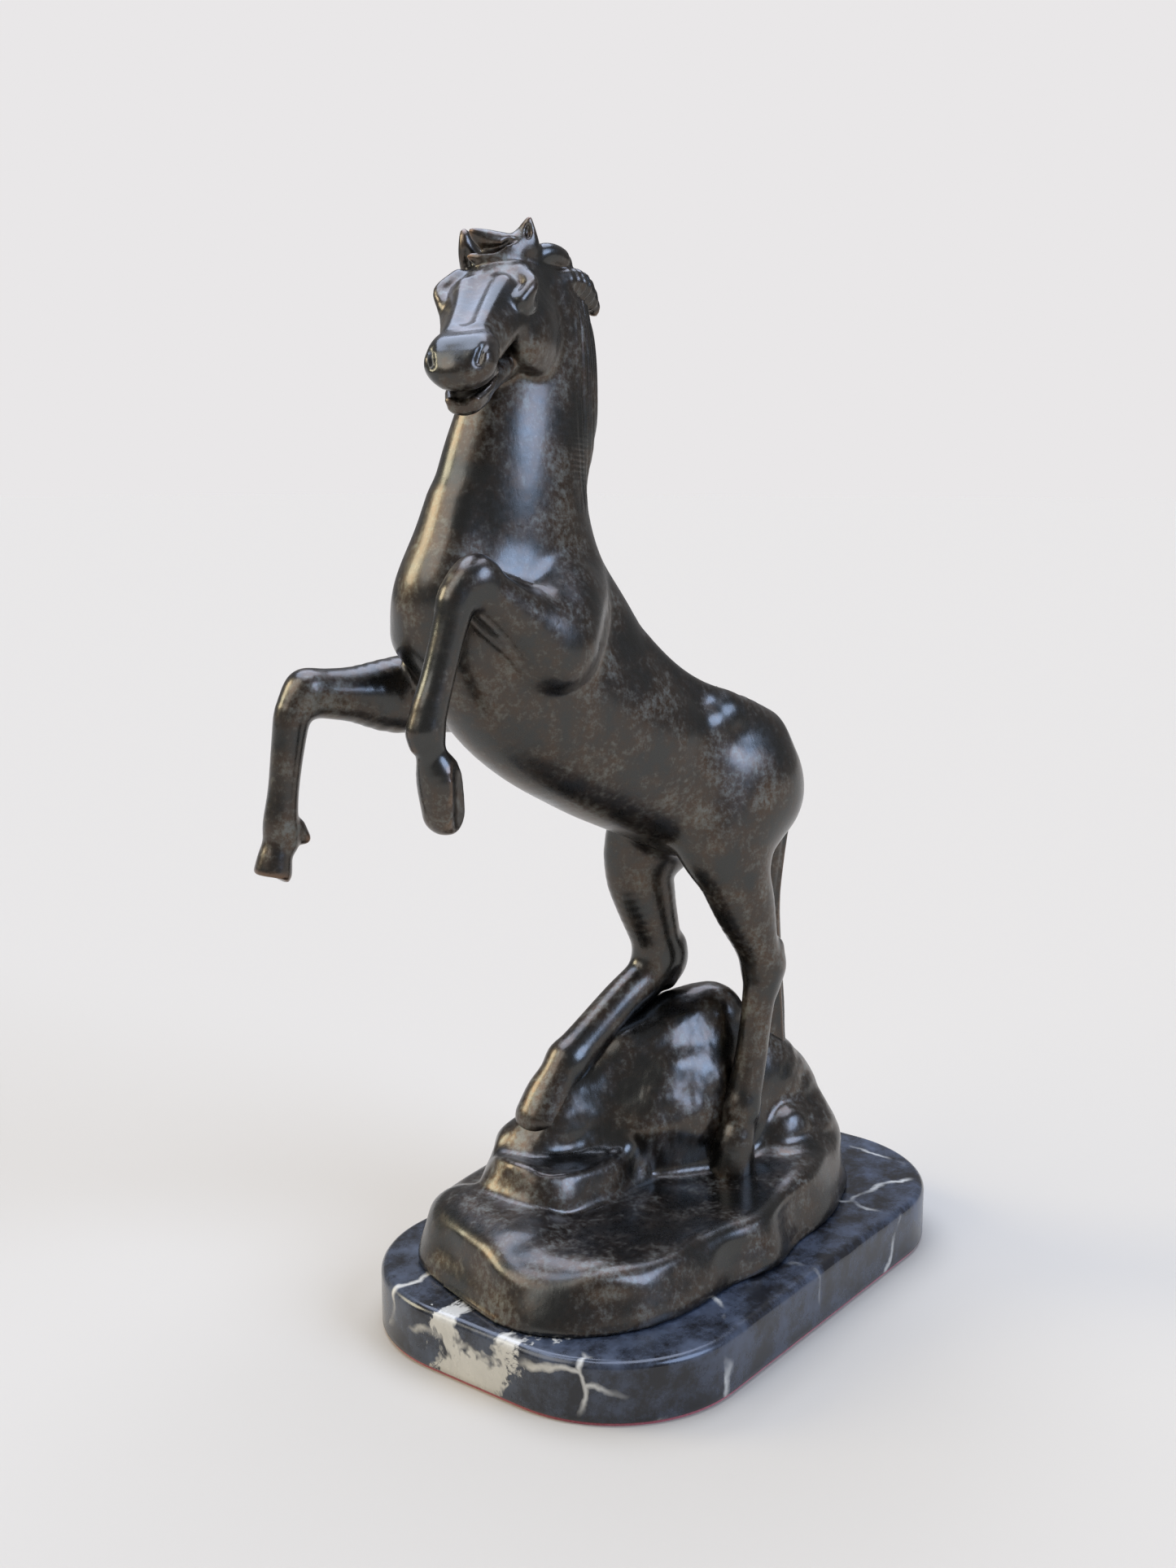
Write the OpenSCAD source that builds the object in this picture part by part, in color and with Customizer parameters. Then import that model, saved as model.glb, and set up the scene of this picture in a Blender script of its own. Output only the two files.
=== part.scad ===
// Rearing bronze horse on a bronze rock and a veined marble plinth.
// Millimetres, Z up. The origin is the middle of the felt's underside; the horse faces -X.

/* [Marble plinth] */
// Length of the marble, along X
plinth_l = 305; // [285:1:380]
// Width of the marble, along Y
plinth_w = 192; // [180:1:240]
// Thickness of the marble
plinth_t = 28.5; // [24:0.5:45]
// Radius of the corners in plan
plinth_r = 68; // [40:1:85]
// Chamfer round the top edge
plinth_chamfer = 4; // [1:0.5:8]
// Thickness of the felt glued under the marble
felt_t = 1.5; // [1:0.1:4]
// How far the felt stops short of the marble's edge
felt_inset = 1.5; // [0.5:0.5:8]

/* [Rock] */
// Length of the rock's foot on the marble
rock_l = 252; // [220:1:270]
// Width of the rock's foot on the marble
rock_w = 158; // [140:1:170]
// Height of the ledge that the left hind hoof stands on, above the marble
ledge_h = 32; // [26:1:45]
// Height of the crag's peak above the ledge
crag_h = 82; // [70:1:90]

/* [Horse] */
// Turn of the horse on the plinth, its head towards -X and to the right
horse_turn = 15; // [0:1:25]
// Length of the trunk, from buttock to breast, between its end stations
trunk_l = 198; // [175:1:240]
// Slope of the trunk above the level
trunk_slope = 30; // [25:1:35]
// Height of the neck, from its root to the poll
neck_l = 133; // [120:1:160]
// Length of the head, from poll to lip
head_l = 108; // [95:1:125]

/* [Legs] */
// Length of the forearm, from elbow to knee
forearm_l = 70; // [64:1:84]
// Length of the fore cannon, from knee to fetlock
fore_cannon_l = 63; // [54:1:76]
// Length of the gaskin, from stifle to hock
gaskin_l = 70; // [62:1:82]
// Length of the hind cannon, from hock to fetlock
hind_cannon_l = 70; // [62:1:82]

/* [Joints and fixings] */
// Wall of the hollow castings
wall = 4; // [3:0.25:5]
// Clearance all round a tenon, a sleeve or a stud in its hole
fit = 0.2; // [0.1:0.05:0.4]
// Diameter of the round tenon on each leg
tenon_d = 10; // [8:0.5:12]
// Length of the tenons
tenon_l = 14; // [10:1:18]
// Length of the sleeve that joins the neck to the trunk
sleeve_l = 10; // [8:1:14]
// Diameter of the cross pins
pin_d = 3; // [2:0.25:4]
// Diameter of the plugs that close the core holes
plug_d = 5; // [4:0.5:8]
// Diameter of the studs that hold the hind hooves
hoof_stud_d = 5; // [4:0.5:6]
// Diameter of the studs that hold the rock on the marble
base_stud_d = 6; // [5:0.5:8]
// Thickness of the washers
washer_t = 1.2; // [0.8:0.1:2]

/* [Hidden] */

BRONZE = [0.24, 0.2, 0.18];
LIGHT_BRONZE = [0.52, 0.42, 0.3];
MARBLE = [0.1, 0.1, 0.12];
FELT = [0.6, 0.22, 0.2];
STEEL = [0.7, 0.7, 0.72];

// Larger than any piece, for cutting
big = 400;
long_bore = 80;
round_fn = 48;
nut_ratio = 1.8;
nut_height_ratio = 0.8;
washer_ratio = 2.2;
boss_fn = 24;
plan_fn = 96;

// The neck, head and crag are drawn at these lengths, then stretched
drawn_neck_l = 133;
drawn_head_l = 108;
drawn_crag_h = 82;

marble_top = felt_t + plinth_t;
stand_z = marble_top + ledge_h;

// ---- posing the horse: everything hangs from the left hind hoof, which stands on the ledge
// Direction of a limb in the horse's own upright plane: 0 points ahead, 90 up
function aim_dir(a) = [-cos(a), 0, sin(a)];

// Shares of the forearm and of the gaskin that belong to the trunk's casting
arm_joint = 0.34;
gaskin_joint = 0.45;

left_hoof = [21, -26, stand_z];
hoof_angle = -77;
hoof_len = 26;
left_fetlock = left_hoof - hoof_len * aim_dir(hoof_angle);
left_cannon_angle = -78;
left_hock = left_fetlock - hind_cannon_l * aim_dir(left_cannon_angle);
left_gaskin_angle = -108;
left_stifle = left_hock - gaskin_l * aim_dir(left_gaskin_angle);

rump = left_stifle + [34, 26, 23];
function along_trunk(t, rise) =
  rump + trunk_l * t * aim_dir(trunk_slope) + rise * aim_dir(trunk_slope + 90);
breast = along_trunk(1, 0);

right_stifle = rump + [-50, 26, -17];
right_gaskin_angle = -99;
right_hock = right_stifle + gaskin_l * aim_dir(right_gaskin_angle);
right_cannon_angle = -34;
right_fetlock = right_hock + hind_cannon_l * aim_dir(right_cannon_angle);
right_hoof_angle = -54;
right_hoof_len = 30;
right_hoof = right_fetlock + right_hoof_len * aim_dir(right_hoof_angle);

left_elbow = breast + [34, -34, -21];
left_forearm_angle = 33;
left_knee = left_elbow + forearm_l * aim_dir(left_forearm_angle);
left_shin_angle = -71;
left_fore_fetlock = left_knee + fore_cannon_l * aim_dir(left_shin_angle);
left_toe_angle = -105;
left_toe_len = 35;
left_toe = left_fore_fetlock + left_toe_len * aim_dir(left_toe_angle);

right_elbow = breast + [3, 30, -37];
right_forearm_angle = 1;
right_knee = right_elbow + forearm_l * aim_dir(right_forearm_angle);
right_shin_angle = -80;
right_fore_fetlock = right_knee + fore_cannon_l * aim_dir(right_shin_angle);
right_toe_angle = -65;
right_toe_len = 17;
right_toe = right_fore_fetlock + right_toe_len * aim_dir(right_toe_angle);

neck_k = neck_l / drawn_neck_l;
neck_joint_rise = 40;
neck_joint_z = breast[2] + neck_joint_rise * neck_k;
poll = breast + [24, -2, 143 * neck_k];
head_k = head_l / drawn_head_l;
head_turn = 41;
head_dip = 31;
head_tilt = -3;

dock = rump + [20, 0, 10];
tail_angle = -165;
tail_foot = [66, 4, stand_z + 46];
tail_tenon_d = tenon_d - 2;
// The tenon runs on into the tail, past the rump's skin
tail_tenon_out = 10;
tail_pin_l = 20;
leg_pin_l = 40;
dowel_foot_z = stand_z + 30;
dowel_up = 12;

// ---- lofts: a smooth skin carried through stations [x, y, z, half depth, half width]
function spline_value(a, b, c, d, t) =
  0.5 * (2 * b + (c - a) * t + (2 * a - 5 * b + 4 * c - d) * t * t + (3 * b - a - 3 * c + d) * t * t * t);

function smooth(stations, steps) = [
  for (i = [0 : len(stations) - 2], k = [0 : steps - 1])
    spline_value(
      stations[max(i - 1, 0)], stations[i], stations[i + 1],
      stations[min(i + 2, len(stations) - 1)], k / steps
    ),
  stations[len(stations) - 1]
];

function place_of(s) = [s[0], s[1], s[2]];
function unit(v) = v / norm(v);
function heading_at(path, i) =
  unit(place_of(path[min(i + 1, len(path) - 1)]) - place_of(path[max(i - 1, 0)]));

// An ellipse square to the path, shrunk and shifted along it by the dome's angle
function ring(s, ahead, dome, sides) =
  let (
    depth = unit(cross([0, 1, 0], ahead)),
    width = cross(ahead, depth),
    middle = place_of(s) + ahead * s[3] * sin(dome)
  ) [
    for (i = [0 : sides - 1])
      let (a = 360 * i / sides)
        middle + cos(dome) * (s[3] * cos(a) * depth + s[4] * sin(a) * width)
  ];

function skin_faces(rings, sides) = concat(
  [[for (i = [0 : sides - 1]) i]],
  [
    for (r = [0 : rings - 2], i = [0 : sides - 1], half = [0, 1])
      let (
        a = r * sides + i,
        b = r * sides + (i + 1) % sides
      )
        half == 0 ? [a, a + sides, b + sides] : [a, b + sides, b]
  ],
  [[for (i = [sides - 1 : -1 : 0]) (rings - 1) * sides + i]]
);

dome_angles = [72, 48, 24];

module loft(stations, sides = 14, steps = 3) {
  path = smooth(stations, steps);
  last = len(path) - 1;
  rings = concat(
    [for (a = dome_angles) ring(path[0], heading_at(path, 0), -a, sides)],
    [for (i = [0 : last]) ring(path[i], heading_at(path, i), 0, sides)],
    [
      for (k = [len(dome_angles) - 1 : -1 : 0])
        ring(path[last], heading_at(path, last), dome_angles[k], sides)
    ]
  );
  polyhedron(
    points = [for (r = rings, p = r) p],
    faces = skin_faces(len(rings), sides)
  );
}

// Joins the lofts inside it into one skin of its own size
module one_skin() {
  resize([0, 0, 0]) union() children();
}

// Stations made thinner all round, for the hollow inside a wall
function thinner(stations, by) =
  [for (s = stations) [s[0], s[1], s[2], s[3] - by, s[4] - by]];

function at(p, r, w) = concat(p, [r, w]);
function between(a, b, t) = a + (b - a) * t;

// Local +X runs along the limb, from p
module aimed(p, a) {
  translate(p) rotate([0, 180 + a, 0]) children();
}

module rod(d, from, to) {
  translate([from, 0, 0]) rotate([0, 90, 0]) cylinder(d = d, h = to - from, $fn = round_fn);
}

// Everything past p in the direction a, on one side of the horse or both
module past(p, a) {
  aimed(p, a) translate([0, -big / 2, -big / 2]) cube(big);
}

module on_plinth() {
  rotate([0, 0, -horse_turn]) children();
}

// ---- the trunk
trunk_stations = [
  for (s = [
    [0, 0, 24, 29], [0.08, -5, 36, 35], [0.2, -9, 41, 37], [0.37, -11, 42, 36],
    [0.57, -10, 46, 38], [0.75, -6, 48, 39], [0.9, -2, 43, 37], [1, 0, 33, 32]
  ]) at(along_trunk(s[0], s[1]), s[2], s[3])
];

neck_stations = [
  for (s = [
    [22, 0, -5, 38, 33], [20, 0, 25, 40, 31], [24, 0, 57, 36, 26],
    [31, 0, 85, 33, 22], [36, 0, 113, 29, 19], [35, -1, 133, 22, 16]
  ]) at(breast + [s[0], s[1], s[2] * neck_k], s[3], s[4])
];

function forearm_stations(elbow, knee) = [
  at(between(elbow, knee, -0.1), 19, 14), at(elbow, 18, 14), at(between(elbow, knee, 0.3), 14, 12.5),
  at(between(elbow, knee, 0.65), 11, 11), at(knee, 10, 10)
];

function gaskin_stations(stifle, hock) = [
  at(stifle + [6, 0, 12], 26, 17), at(stifle, 22, 16), at(between(stifle, hock, 0.35), 16, 13),
  at(between(stifle, hock, 0.7), 11, 10), at(hock, 9.5, 9)
];

// The withers fill the bend between the back and the neck
withers_stations = [
  for (s = [
    [98, 0, -45, 22, 28], [72, 0, -14, 28, 30], [52, 0, 18, 32, 30], [40, 0, 52, 34, 26],
    [38, 0, 80, 28, 20]
  ]) at(breast + [s[0], s[1], s[2]], s[3], s[4])
];

module neck_mass() {
  loft(neck_stations, 20);
  loft(withers_stations, 18);
}

module trunk_skin() {
  loft(trunk_stations, 22);
  difference() {
    neck_mass();
    translate([-big / 2, -big / 2, neck_joint_z]) cube(big);
  }
  for (side = [
    [left_elbow, left_knee, left_forearm_angle],
    [right_elbow, right_knee, right_forearm_angle]
  ]) {
    difference() {
      union() {
        loft(forearm_stations(side[0], side[1]), 14);
        loft([
          at(side[0] + [0, -0.1 * side[0][1], 6], 20, 14),
          at(side[0] + [8, -0.4 * side[0][1], 28], 18, 14)
        ], 12);
      }
      past(between(side[0], side[1], arm_joint), side[2]);
    }
  }
  for (side = [
    [left_stifle, left_hock, left_gaskin_angle],
    [right_stifle, right_hock, right_gaskin_angle]
  ]) {
    difference() {
      union() {
        loft(gaskin_stations(side[0], side[1]), 14);
        loft([at(side[0], 22, 15), at(side[0] + [10, -0.2 * side[0][1], 26], 30, 16)], 14);
      }
      past(between(side[0], side[1], gaskin_joint), side[2]);
    }
  }
}

// Joint of each leg: [middle of the joint face, direction of the limb]
leg_joints = [
  [between(left_elbow, left_knee, arm_joint), left_forearm_angle],
  [between(right_elbow, right_knee, arm_joint), right_forearm_angle],
  [between(left_stifle, left_hock, gaskin_joint), left_gaskin_angle],
  [between(right_stifle, right_hock, gaskin_joint), right_gaskin_angle]
];

cavity_stations = [for (i = [1 : len(trunk_stations) - 2]) trunk_stations[i]];

module trunk_hollow() {
  difference() {
    union() {
      loft(thinner(cavity_stations, wall + 2), 18, 2);
      loft(thinner(neck_stations, wall), 20);
    }
    for (j = leg_joints) aimed(j[0], j[1]) rod(tenon_d + 2.5 * wall, -tenon_l - wall, 0);
    aimed(dock, tail_angle) rod(tail_tenon_d + 2.5 * wall, -tenon_l - wall, 0);
  }
}

// Core holes: [share of the trunk's length, turn about its axis from the back]
core_holes = [[0.3, 20], [0.3, 200], [0.68, -20], [0.68, 160]];

module core_bores(d) {
  for (c = core_holes)
    translate(along_trunk(c[0], -9)) rotate([0, trunk_slope, 0]) rotate([c[1], 0, 0])
      cylinder(d = d, h = long_bore, $fn = round_fn);
}

// Cross pins of the legs are driven in from the outside of each limb
module leg_pin_bores(d) {
  for (j = leg_joints)
    aimed(j[0], j[1]) translate([-tenon_l / 2, 0, 0])
      rotate([j[0][1] > 0 ? -90 : 90, 0, 0]) translate([0, 0, -tenon_d / 2 - 2])
        cylinder(d = d, h = leg_pin_l, $fn = round_fn);
}

module neck_pin_bores(d) {
  for (a = [90, 180, 270])
    translate([breast[0] + 20, 0, neck_joint_z - sleeve_l / 2]) rotate([0, 90, a])
      cylinder(d = d, h = long_bore, $fn = round_fn);
}

module tail_pin_bore(d) {
  aimed(dock, tail_angle) translate([-tenon_l / 2, 0, 0]) rotate([-90, 0, 0])
    cylinder(d = d, h = tail_pin_l, center = true, $fn = round_fn);
}

module trunk_casting() {
  color(BRONZE) on_plinth() difference() {
    one_skin() difference() {
      trunk_skin();
      trunk_hollow();
      neck_opening();
    }
    for (j = leg_joints) aimed(j[0], j[1]) rod(tenon_d + 2 * fit, -tenon_l - fit, 1);
    aimed(dock, tail_angle) rod(tail_tenon_d + 2 * fit, -tenon_l - fit, tail_tenon_out);
    core_bores(plug_d);
    leg_pin_bores(pin_d);
    neck_pin_bores(pin_d);
    tail_pin_bore(pin_d);
  }
}

// The neck's mouth, which takes the head casting's sleeve
module neck_opening() {
  intersection() {
    loft(thinner(neck_stations, wall), 20);
    translate([-big / 2, -big / 2, neck_joint_z - sleeve_l - fit]) cube(big);
  }
}

module core_plugs() {
  color(LIGHT_BRONZE) on_plinth() difference() {
    intersection() {
      core_bores(plug_d);
      one_skin() trunk_skin();
    }
    one_skin() trunk_hollow();
  }
}

module leg_pins() {
  color(LIGHT_BRONZE) on_plinth() intersection() {
    leg_pin_bores(pin_d);
    one_skin() trunk_skin();
  }
}

module neck_pins() {
  color(LIGHT_BRONZE) on_plinth() difference() {
    intersection() {
      neck_pin_bores(pin_d);
      one_skin() trunk_skin();
    }
    one_skin() loft(thinner(neck_stations, 2 * wall), 20);
  }
}

// ---- the head and neck, one casting with an open sleeve at its foot
module in_head() {
  translate(poll) rotate([0, 0, head_turn - 180]) rotate([0, head_dip, 0]) rotate([-head_tilt, 0, 0])
    scale(head_k) children();
}

module head_skin() {
  // Skull, nose and upper lip
  loft([
    [-2, 0, -1, 14, 13], [12, 1, 0, 16, 18], [26, 2, 1, 15.5, 22], [40, 1, 1, 14, 17],
    [56, 0, 0, 12.5, 12.5], [70, 0, -1, 11.5, 12], [80, 0, -2, 11.5, 13], [86, 0, -3, 8.5, 10]
  ], 20);
  // Cheeks
  for (side = [-1, 1])
    loft([[12, side * 8, -13, 15, 8], [22, side * 10, -14, 17, 9], [32, side * 9, -12, 13, 7]], 14);
  // Lower jaw, hanging open
  loft([
    [22, 0, -24, 9, 12], [42, 0, -22, 6.5, 8], [60, 0, -20, 5, 6.5], [75, 0, -19, 5.5, 7.5],
    [83, 0, -18, 4.5, 6]
  ], 12);
  // Left ear pricked, right ear turned out
  loft([[-3, 10, 11, 5, 5], [-6, 10, 18, 5, 4.5], [-11, 10, 26, 1.5, 1.5]], 10);
  loft([[-2, -7, 9, 5, 5], [-4, -13, 16, 4.5, 4], [-5, -18, 22, 1.5, 1.5]], 12);
  // Forelock and the two locks blown back behind the left ear
  loft([[6, 2, 13, 5, 7], [1, -5, 18, 4, 6], [0, -14, 21, 1.5, 3]], 10);
  loft([[-10, 8, 8, 6, 6], [-20, 8, 6, 6, 6], [-26, 6, 0, 3, 3]], 10);
}

mane_stations = [
  for (s = [
    [60, 0, 40, 7, 5], [60, 0, 58, 8, 6], [61, -1, 85, 9, 6], [60, -1, 112, 9, 6], [54, -2, 134, 8, 6]
  ]) at(breast + [s[0], s[1], s[2] * neck_k], s[3], s[4])
];

module head_and_neck_casting() {
  color(BRONZE) on_plinth() difference() {
    one_skin() difference() {
      union() {
        difference() {
          union() {
            neck_mass();
            loft(mane_stations, 10);
            in_head() head_skin();
          }
          translate([-big / 2, -big / 2, neck_joint_z - big]) cube(big);
        }
        intersection() {
          loft(thinner(neck_stations, wall + fit), 20);
          translate([-big / 2, -big / 2, neck_joint_z - sleeve_l]) cube([big, big, sleeve_l + 1]);
        }
      }
      loft(thinner(neck_stations, 2 * wall), 20);
    }
    neck_pin_bores(pin_d);
  }
}

// ---- the legs, cast solid, each with a round tenon for its socket in the trunk
module leg(stations, joint, above) {
  color(BRONZE) on_plinth() difference() {
    union() {
      one_skin() difference() {
        union() {
          difference() {
            loft(above, 14);
            past(joint[0], joint[1] + 180);
          }
          for (part = stations) loft(part, 12);
        }
        loft(trunk_stations, 22);
        children();
      }
      aimed(joint[0], joint[1]) rod(tenon_d, -tenon_l, 1);
    }
    leg_pin_bores(pin_d);
    stud_bores(hoof_stud_d);
  }
}

function foreleg_parts(knee, fetlock, toe) = [
  [at(knee, 9.5, 9.5), at(between(knee, fetlock, 0.25), 7.5, 8), at(between(knee, fetlock, 0.65), 6.5, 7),
   at(fetlock, 7.5, 7.5)],
  [at(fetlock, 7, 7), at(between(fetlock, toe, 0.4), 6.5, 7), at(between(fetlock, toe, 0.7), 9, 10),
   at(toe, 8, 9)]
];

function hind_leg_parts(hock, fetlock, hoof, foot) = [
  [at(hock, 9.5, 9), at(between(hock, fetlock, 0.3), 8, 8), at(between(hock, fetlock, 0.7), 7.5, 7.5),
   at(fetlock, 9, 9)],
  [at(fetlock, 8.5, 8.5), at(between(fetlock, hoof, 0.35), 8, 9), at(between(fetlock, hoof, 0.7), 10, 11),
   at(hoof, foot, foot + 1)]
];

module left_foreleg() {
  leg(
    foreleg_parts(left_knee, left_fore_fetlock, left_toe), leg_joints[0],
    forearm_stations(left_elbow, left_knee)
  );
}

module right_foreleg() {
  leg(
    foreleg_parts(right_knee, right_fore_fetlock, right_toe), leg_joints[1],
    forearm_stations(right_elbow, right_knee)
  );
}

module left_hind_leg() {
  leg(
    hind_leg_parts(left_hock, left_fetlock, left_hoof, 11), leg_joints[2],
    gaskin_stations(left_stifle, left_hock)
  ) {
    translate([-big / 2, -big / 2, stand_z - big]) cube(big);
    crag(0);
  }
}

module right_hind_leg() {
  leg(
    hind_leg_parts(right_hock, right_fetlock, right_hoof, 12), leg_joints[3],
    gaskin_stations(right_stifle, right_hock)
  )
    crag(0);
}

// ---- the tail, which hangs to the crag and props the horse
tail_stations = [
  at(dock - [12, 0, 6], 8, 7), at(dock, 9, 8), at(dock + [13, 1, -8], 10, 9), at(dock + [18, 2, -40], 11, 10),
  at(between(dock + [16, 2, -40], tail_foot, 0.5), 10, 10), at(tail_foot, 8, 9)
];

module tail_casting() {
  color(BRONZE) on_plinth() difference() {
    union() {
      one_skin() difference() {
        loft(tail_stations, 14);
        loft(trunk_stations, 22);
        crag(0);
      }
      aimed(dock, tail_angle) rod(tail_tenon_d, -tenon_l, tail_tenon_out);
    }
    tail_pin_bore(pin_d);
    dowel();
  }
}

module dowel() {
  translate([tail_foot[0], tail_foot[1], dowel_foot_z])
    cylinder(d = pin_d, h = tail_foot[2] + dowel_up - dowel_foot_z, $fn = round_fn);
}

module tail_pin() {
  color(LIGHT_BRONZE) on_plinth() tail_pin_bore(pin_d);
}

module tail_dowel() {
  color(LIGHT_BRONZE) on_plinth() dowel();
}

// ---- the rock, a hollow casting open below
rock_middle = [-15, 4];
rock_power = 3;
rock_side_count = 40;
rock_levels = [[0, 0], [0.2, -2], [0.55, 3], [0.82, 9], [1, 22]];

function rock_reach(a, half_l, half_w) =
  pow(pow(abs(cos(a)) / half_l, rock_power) + pow(abs(sin(a)) / half_w, rock_power), -1 / rock_power);

function rock_ring(z, inset) = [
  for (i = [0 : rock_side_count - 1])
    let (
      a = 360 * i / rock_side_count,
      r = rock_reach(a, rock_l / 2 - inset, rock_w / 2 - inset) + 1.6 * sin(5 * a) + sin(9 * a + 40)
    )
      [rock_middle[0] + r * cos(a), rock_middle[1] + r * sin(a), z]
];

module rock_mound(by, top) {
  rings = [for (l = rock_levels) rock_ring(marble_top + top * l[0] - (l[0] == 0 ? 2 * by : 0), l[1] + by)];
  polyhedron(points = [for (r = rings, p = r) p], faces = skin_faces(len(rings), rock_side_count));
}

// The crag climbs from the right hind hoof to its peak, and falls away behind it
function crag_station(s) = at([s[0], s[1], stand_z + s[2] * crag_h / drawn_crag_h], s[3], s[4]);
crag_climb = [
  for (s = [
    [-72, 26, -14, 22, 24], [-58, 26, 6, 24, 25], [-34, 23, 20, 24, 25], [-8, 18, 36, 24, 24],
    [16, 13, 48, 24, 23], [36, 9, 57, 25, 22]
  ]) crag_station(s)
];
crag_fall = [
  for (s = [[40, 9, 50, 22, 20], [58, 6, 30, 26, 23], [74, 4, 8, 27, 26], [86, 2, -14, 22, 28]])
    crag_station(s)
];

crag_core = [
  for (s = [[12, 14, -16, 60, 40], [16, 13, 12, 50, 34], [22, 12, 38, 31, 28], [32, 10, 58, 18, 20]])
    crag_station(s)
];

module crag(by) {
  loft(thinner(crag_core, by), 20);
  loft(thinner(crag_climb, by), 16);
  loft(thinner(crag_fall, by), 16);
}

module rock_skin() {
  rock_mound(0, ledge_h);
  difference() {
    on_plinth() crag(0);
    translate([-big / 2, -big / 2, marble_top + 1 - big]) cube(big);
  }
}

hoof_seats = [left_hoof, right_hoof + [3, 0, 2]];
seat_boss_t = 9;
tail_boss_d = 12;
base_seats = [[-98, 28], [-60, -40], [62, -22]];
lug_d = 18;

// Each stud stands this far out of the boss, below for its nut and above in the hoof
stud_out = 12;

module stud_bores(d) {
  for (p = hoof_seats)
    translate(p - [0, 0, seat_boss_t + stud_out])
      cylinder(d = d, h = seat_boss_t + 2 * stud_out, $fn = round_fn);
}

module rock_bosses() {
  on_plinth() {
    for (p = hoof_seats)
      translate(p - [0, 0, seat_boss_t]) cylinder(d = lug_d, h = 3 * seat_boss_t, $fn = boss_fn);
    translate([tail_foot[0], tail_foot[1], dowel_foot_z - 2])
      cylinder(d = tail_boss_d, h = long_bore, $fn = boss_fn);
  }
  for (p = base_seats)
    translate([p[0], p[1], marble_top - 10]) cylinder(d = lug_d, h = long_bore, $fn = boss_fn);
}

// Room under each hoof's boss for its washer and nut
module hoof_nut_pockets() {
  depth = washer_t + hoof_nut_h + nut_room;
  for (p = hoof_seats)
    translate(p - [0, 0, seat_boss_t + depth])
      cylinder(d = hoof_stud_d * washer_ratio + nut_room, h = depth, $fn = round_fn);
}

module rock_casting() {
  color(BRONZE) difference() {
    one_skin() difference() {
      rock_skin();
      difference() {
        union() {
          rock_mound(wall, ledge_h - wall);
          on_plinth() crag(wall);
        }
        rock_bosses();
      }
    }
    on_plinth() {
      stud_bores(hoof_stud_d + 2 * fit);
      dowel();
      hoof_nut_pockets();
    }
    base_stud_rods(base_stud_d);
  }
}

// ---- fixings
base_nut_h = base_stud_d * nut_height_ratio;
hoof_nut_h = hoof_stud_d * nut_height_ratio;
// Free room round a nut, and the cover that sinks the base nuts clear of the felt
nut_room = 2;
nut_cover = 3;
counterbore_d = base_stud_d * washer_ratio + 3 * nut_room;
counterbore_top = felt_t + base_nut_h + washer_t + nut_cover;
// A base stud shows one millimetre below its nut and grips the rock's lug by the other length
stud_end = 1;
stud_grip = 16;
stud_foot = counterbore_top - washer_t - base_nut_h - stud_end;

module base_stud_rods(d) {
  for (p = base_seats)
    translate([p[0], p[1], stud_foot])
      cylinder(d = d, h = marble_top + stud_grip - stud_foot, $fn = round_fn);
}

module base_studs() {
  color(STEEL) base_stud_rods(base_stud_d);
}

module ring_at(p, d_out, d_in, h, fn_out = round_fn) {
  translate(p) difference() {
    cylinder(d = d_out, h = h, $fn = fn_out);
    translate([0, 0, -1]) cylinder(d = d_in, h = h + 2, $fn = round_fn);
  }
}

module base_washers() {
  color(STEEL) for (p = base_seats)
    ring_at([p[0], p[1], counterbore_top - washer_t], base_stud_d * washer_ratio, base_stud_d, washer_t);
}

module base_nuts() {
  color(STEEL) for (p = base_seats)
    ring_at(
      [p[0], p[1], counterbore_top - washer_t - base_nut_h],
      base_stud_d * nut_ratio, base_stud_d, base_nut_h, 6
    );
}

module hoof_studs() {
  color(STEEL) on_plinth() stud_bores(hoof_stud_d);
}

module hoof_washers() {
  color(STEEL) on_plinth() for (p = hoof_seats)
    ring_at(p - [0, 0, seat_boss_t + washer_t], hoof_stud_d * washer_ratio, hoof_stud_d, washer_t);
}

module hoof_nuts() {
  color(STEEL) on_plinth() for (p = hoof_seats)
    ring_at(
      p - [0, 0, seat_boss_t + washer_t + hoof_nut_h],
      hoof_stud_d * nut_ratio, hoof_stud_d, hoof_nut_h, 6
    );
}

// ---- marble and felt
module corners() {
  for (x = [-1, 1], y = [-1, 1])
    translate([x * (plinth_l / 2 - plinth_r), y * (plinth_w / 2 - plinth_r), 0]) children();
}

module slab_outline(inset) {
  hull() corners() circle(r = plinth_r - inset, $fn = plan_fn);
}

module marble_plinth() {
  color(MARBLE) difference() {
    translate([0, 0, felt_t]) hull() corners() {
      cylinder(r = plinth_r, h = plinth_t - plinth_chamfer, $fn = plan_fn);
      cylinder(r = plinth_r - plinth_chamfer, h = plinth_t, $fn = plan_fn);
    }
    for (p = base_seats) translate([p[0], p[1], 0]) {
      cylinder(d = base_stud_d + 1, h = big, $fn = round_fn);
      cylinder(d = counterbore_d, h = counterbore_top, $fn = round_fn);
    }
  }
}

module felt_pad() {
  color(FELT) linear_extrude(felt_t) slab_outline(felt_inset);
}

felt_pad();
marble_plinth();
rock_casting();
base_studs();
base_washers();
base_nuts();
trunk_casting();
core_plugs();
head_and_neck_casting();
neck_pins();
left_foreleg();
right_foreleg();
left_hind_leg();
right_hind_leg();
leg_pins();
hoof_studs();
hoof_washers();
hoof_nuts();
tail_casting();
tail_pin();
tail_dowel();
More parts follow.
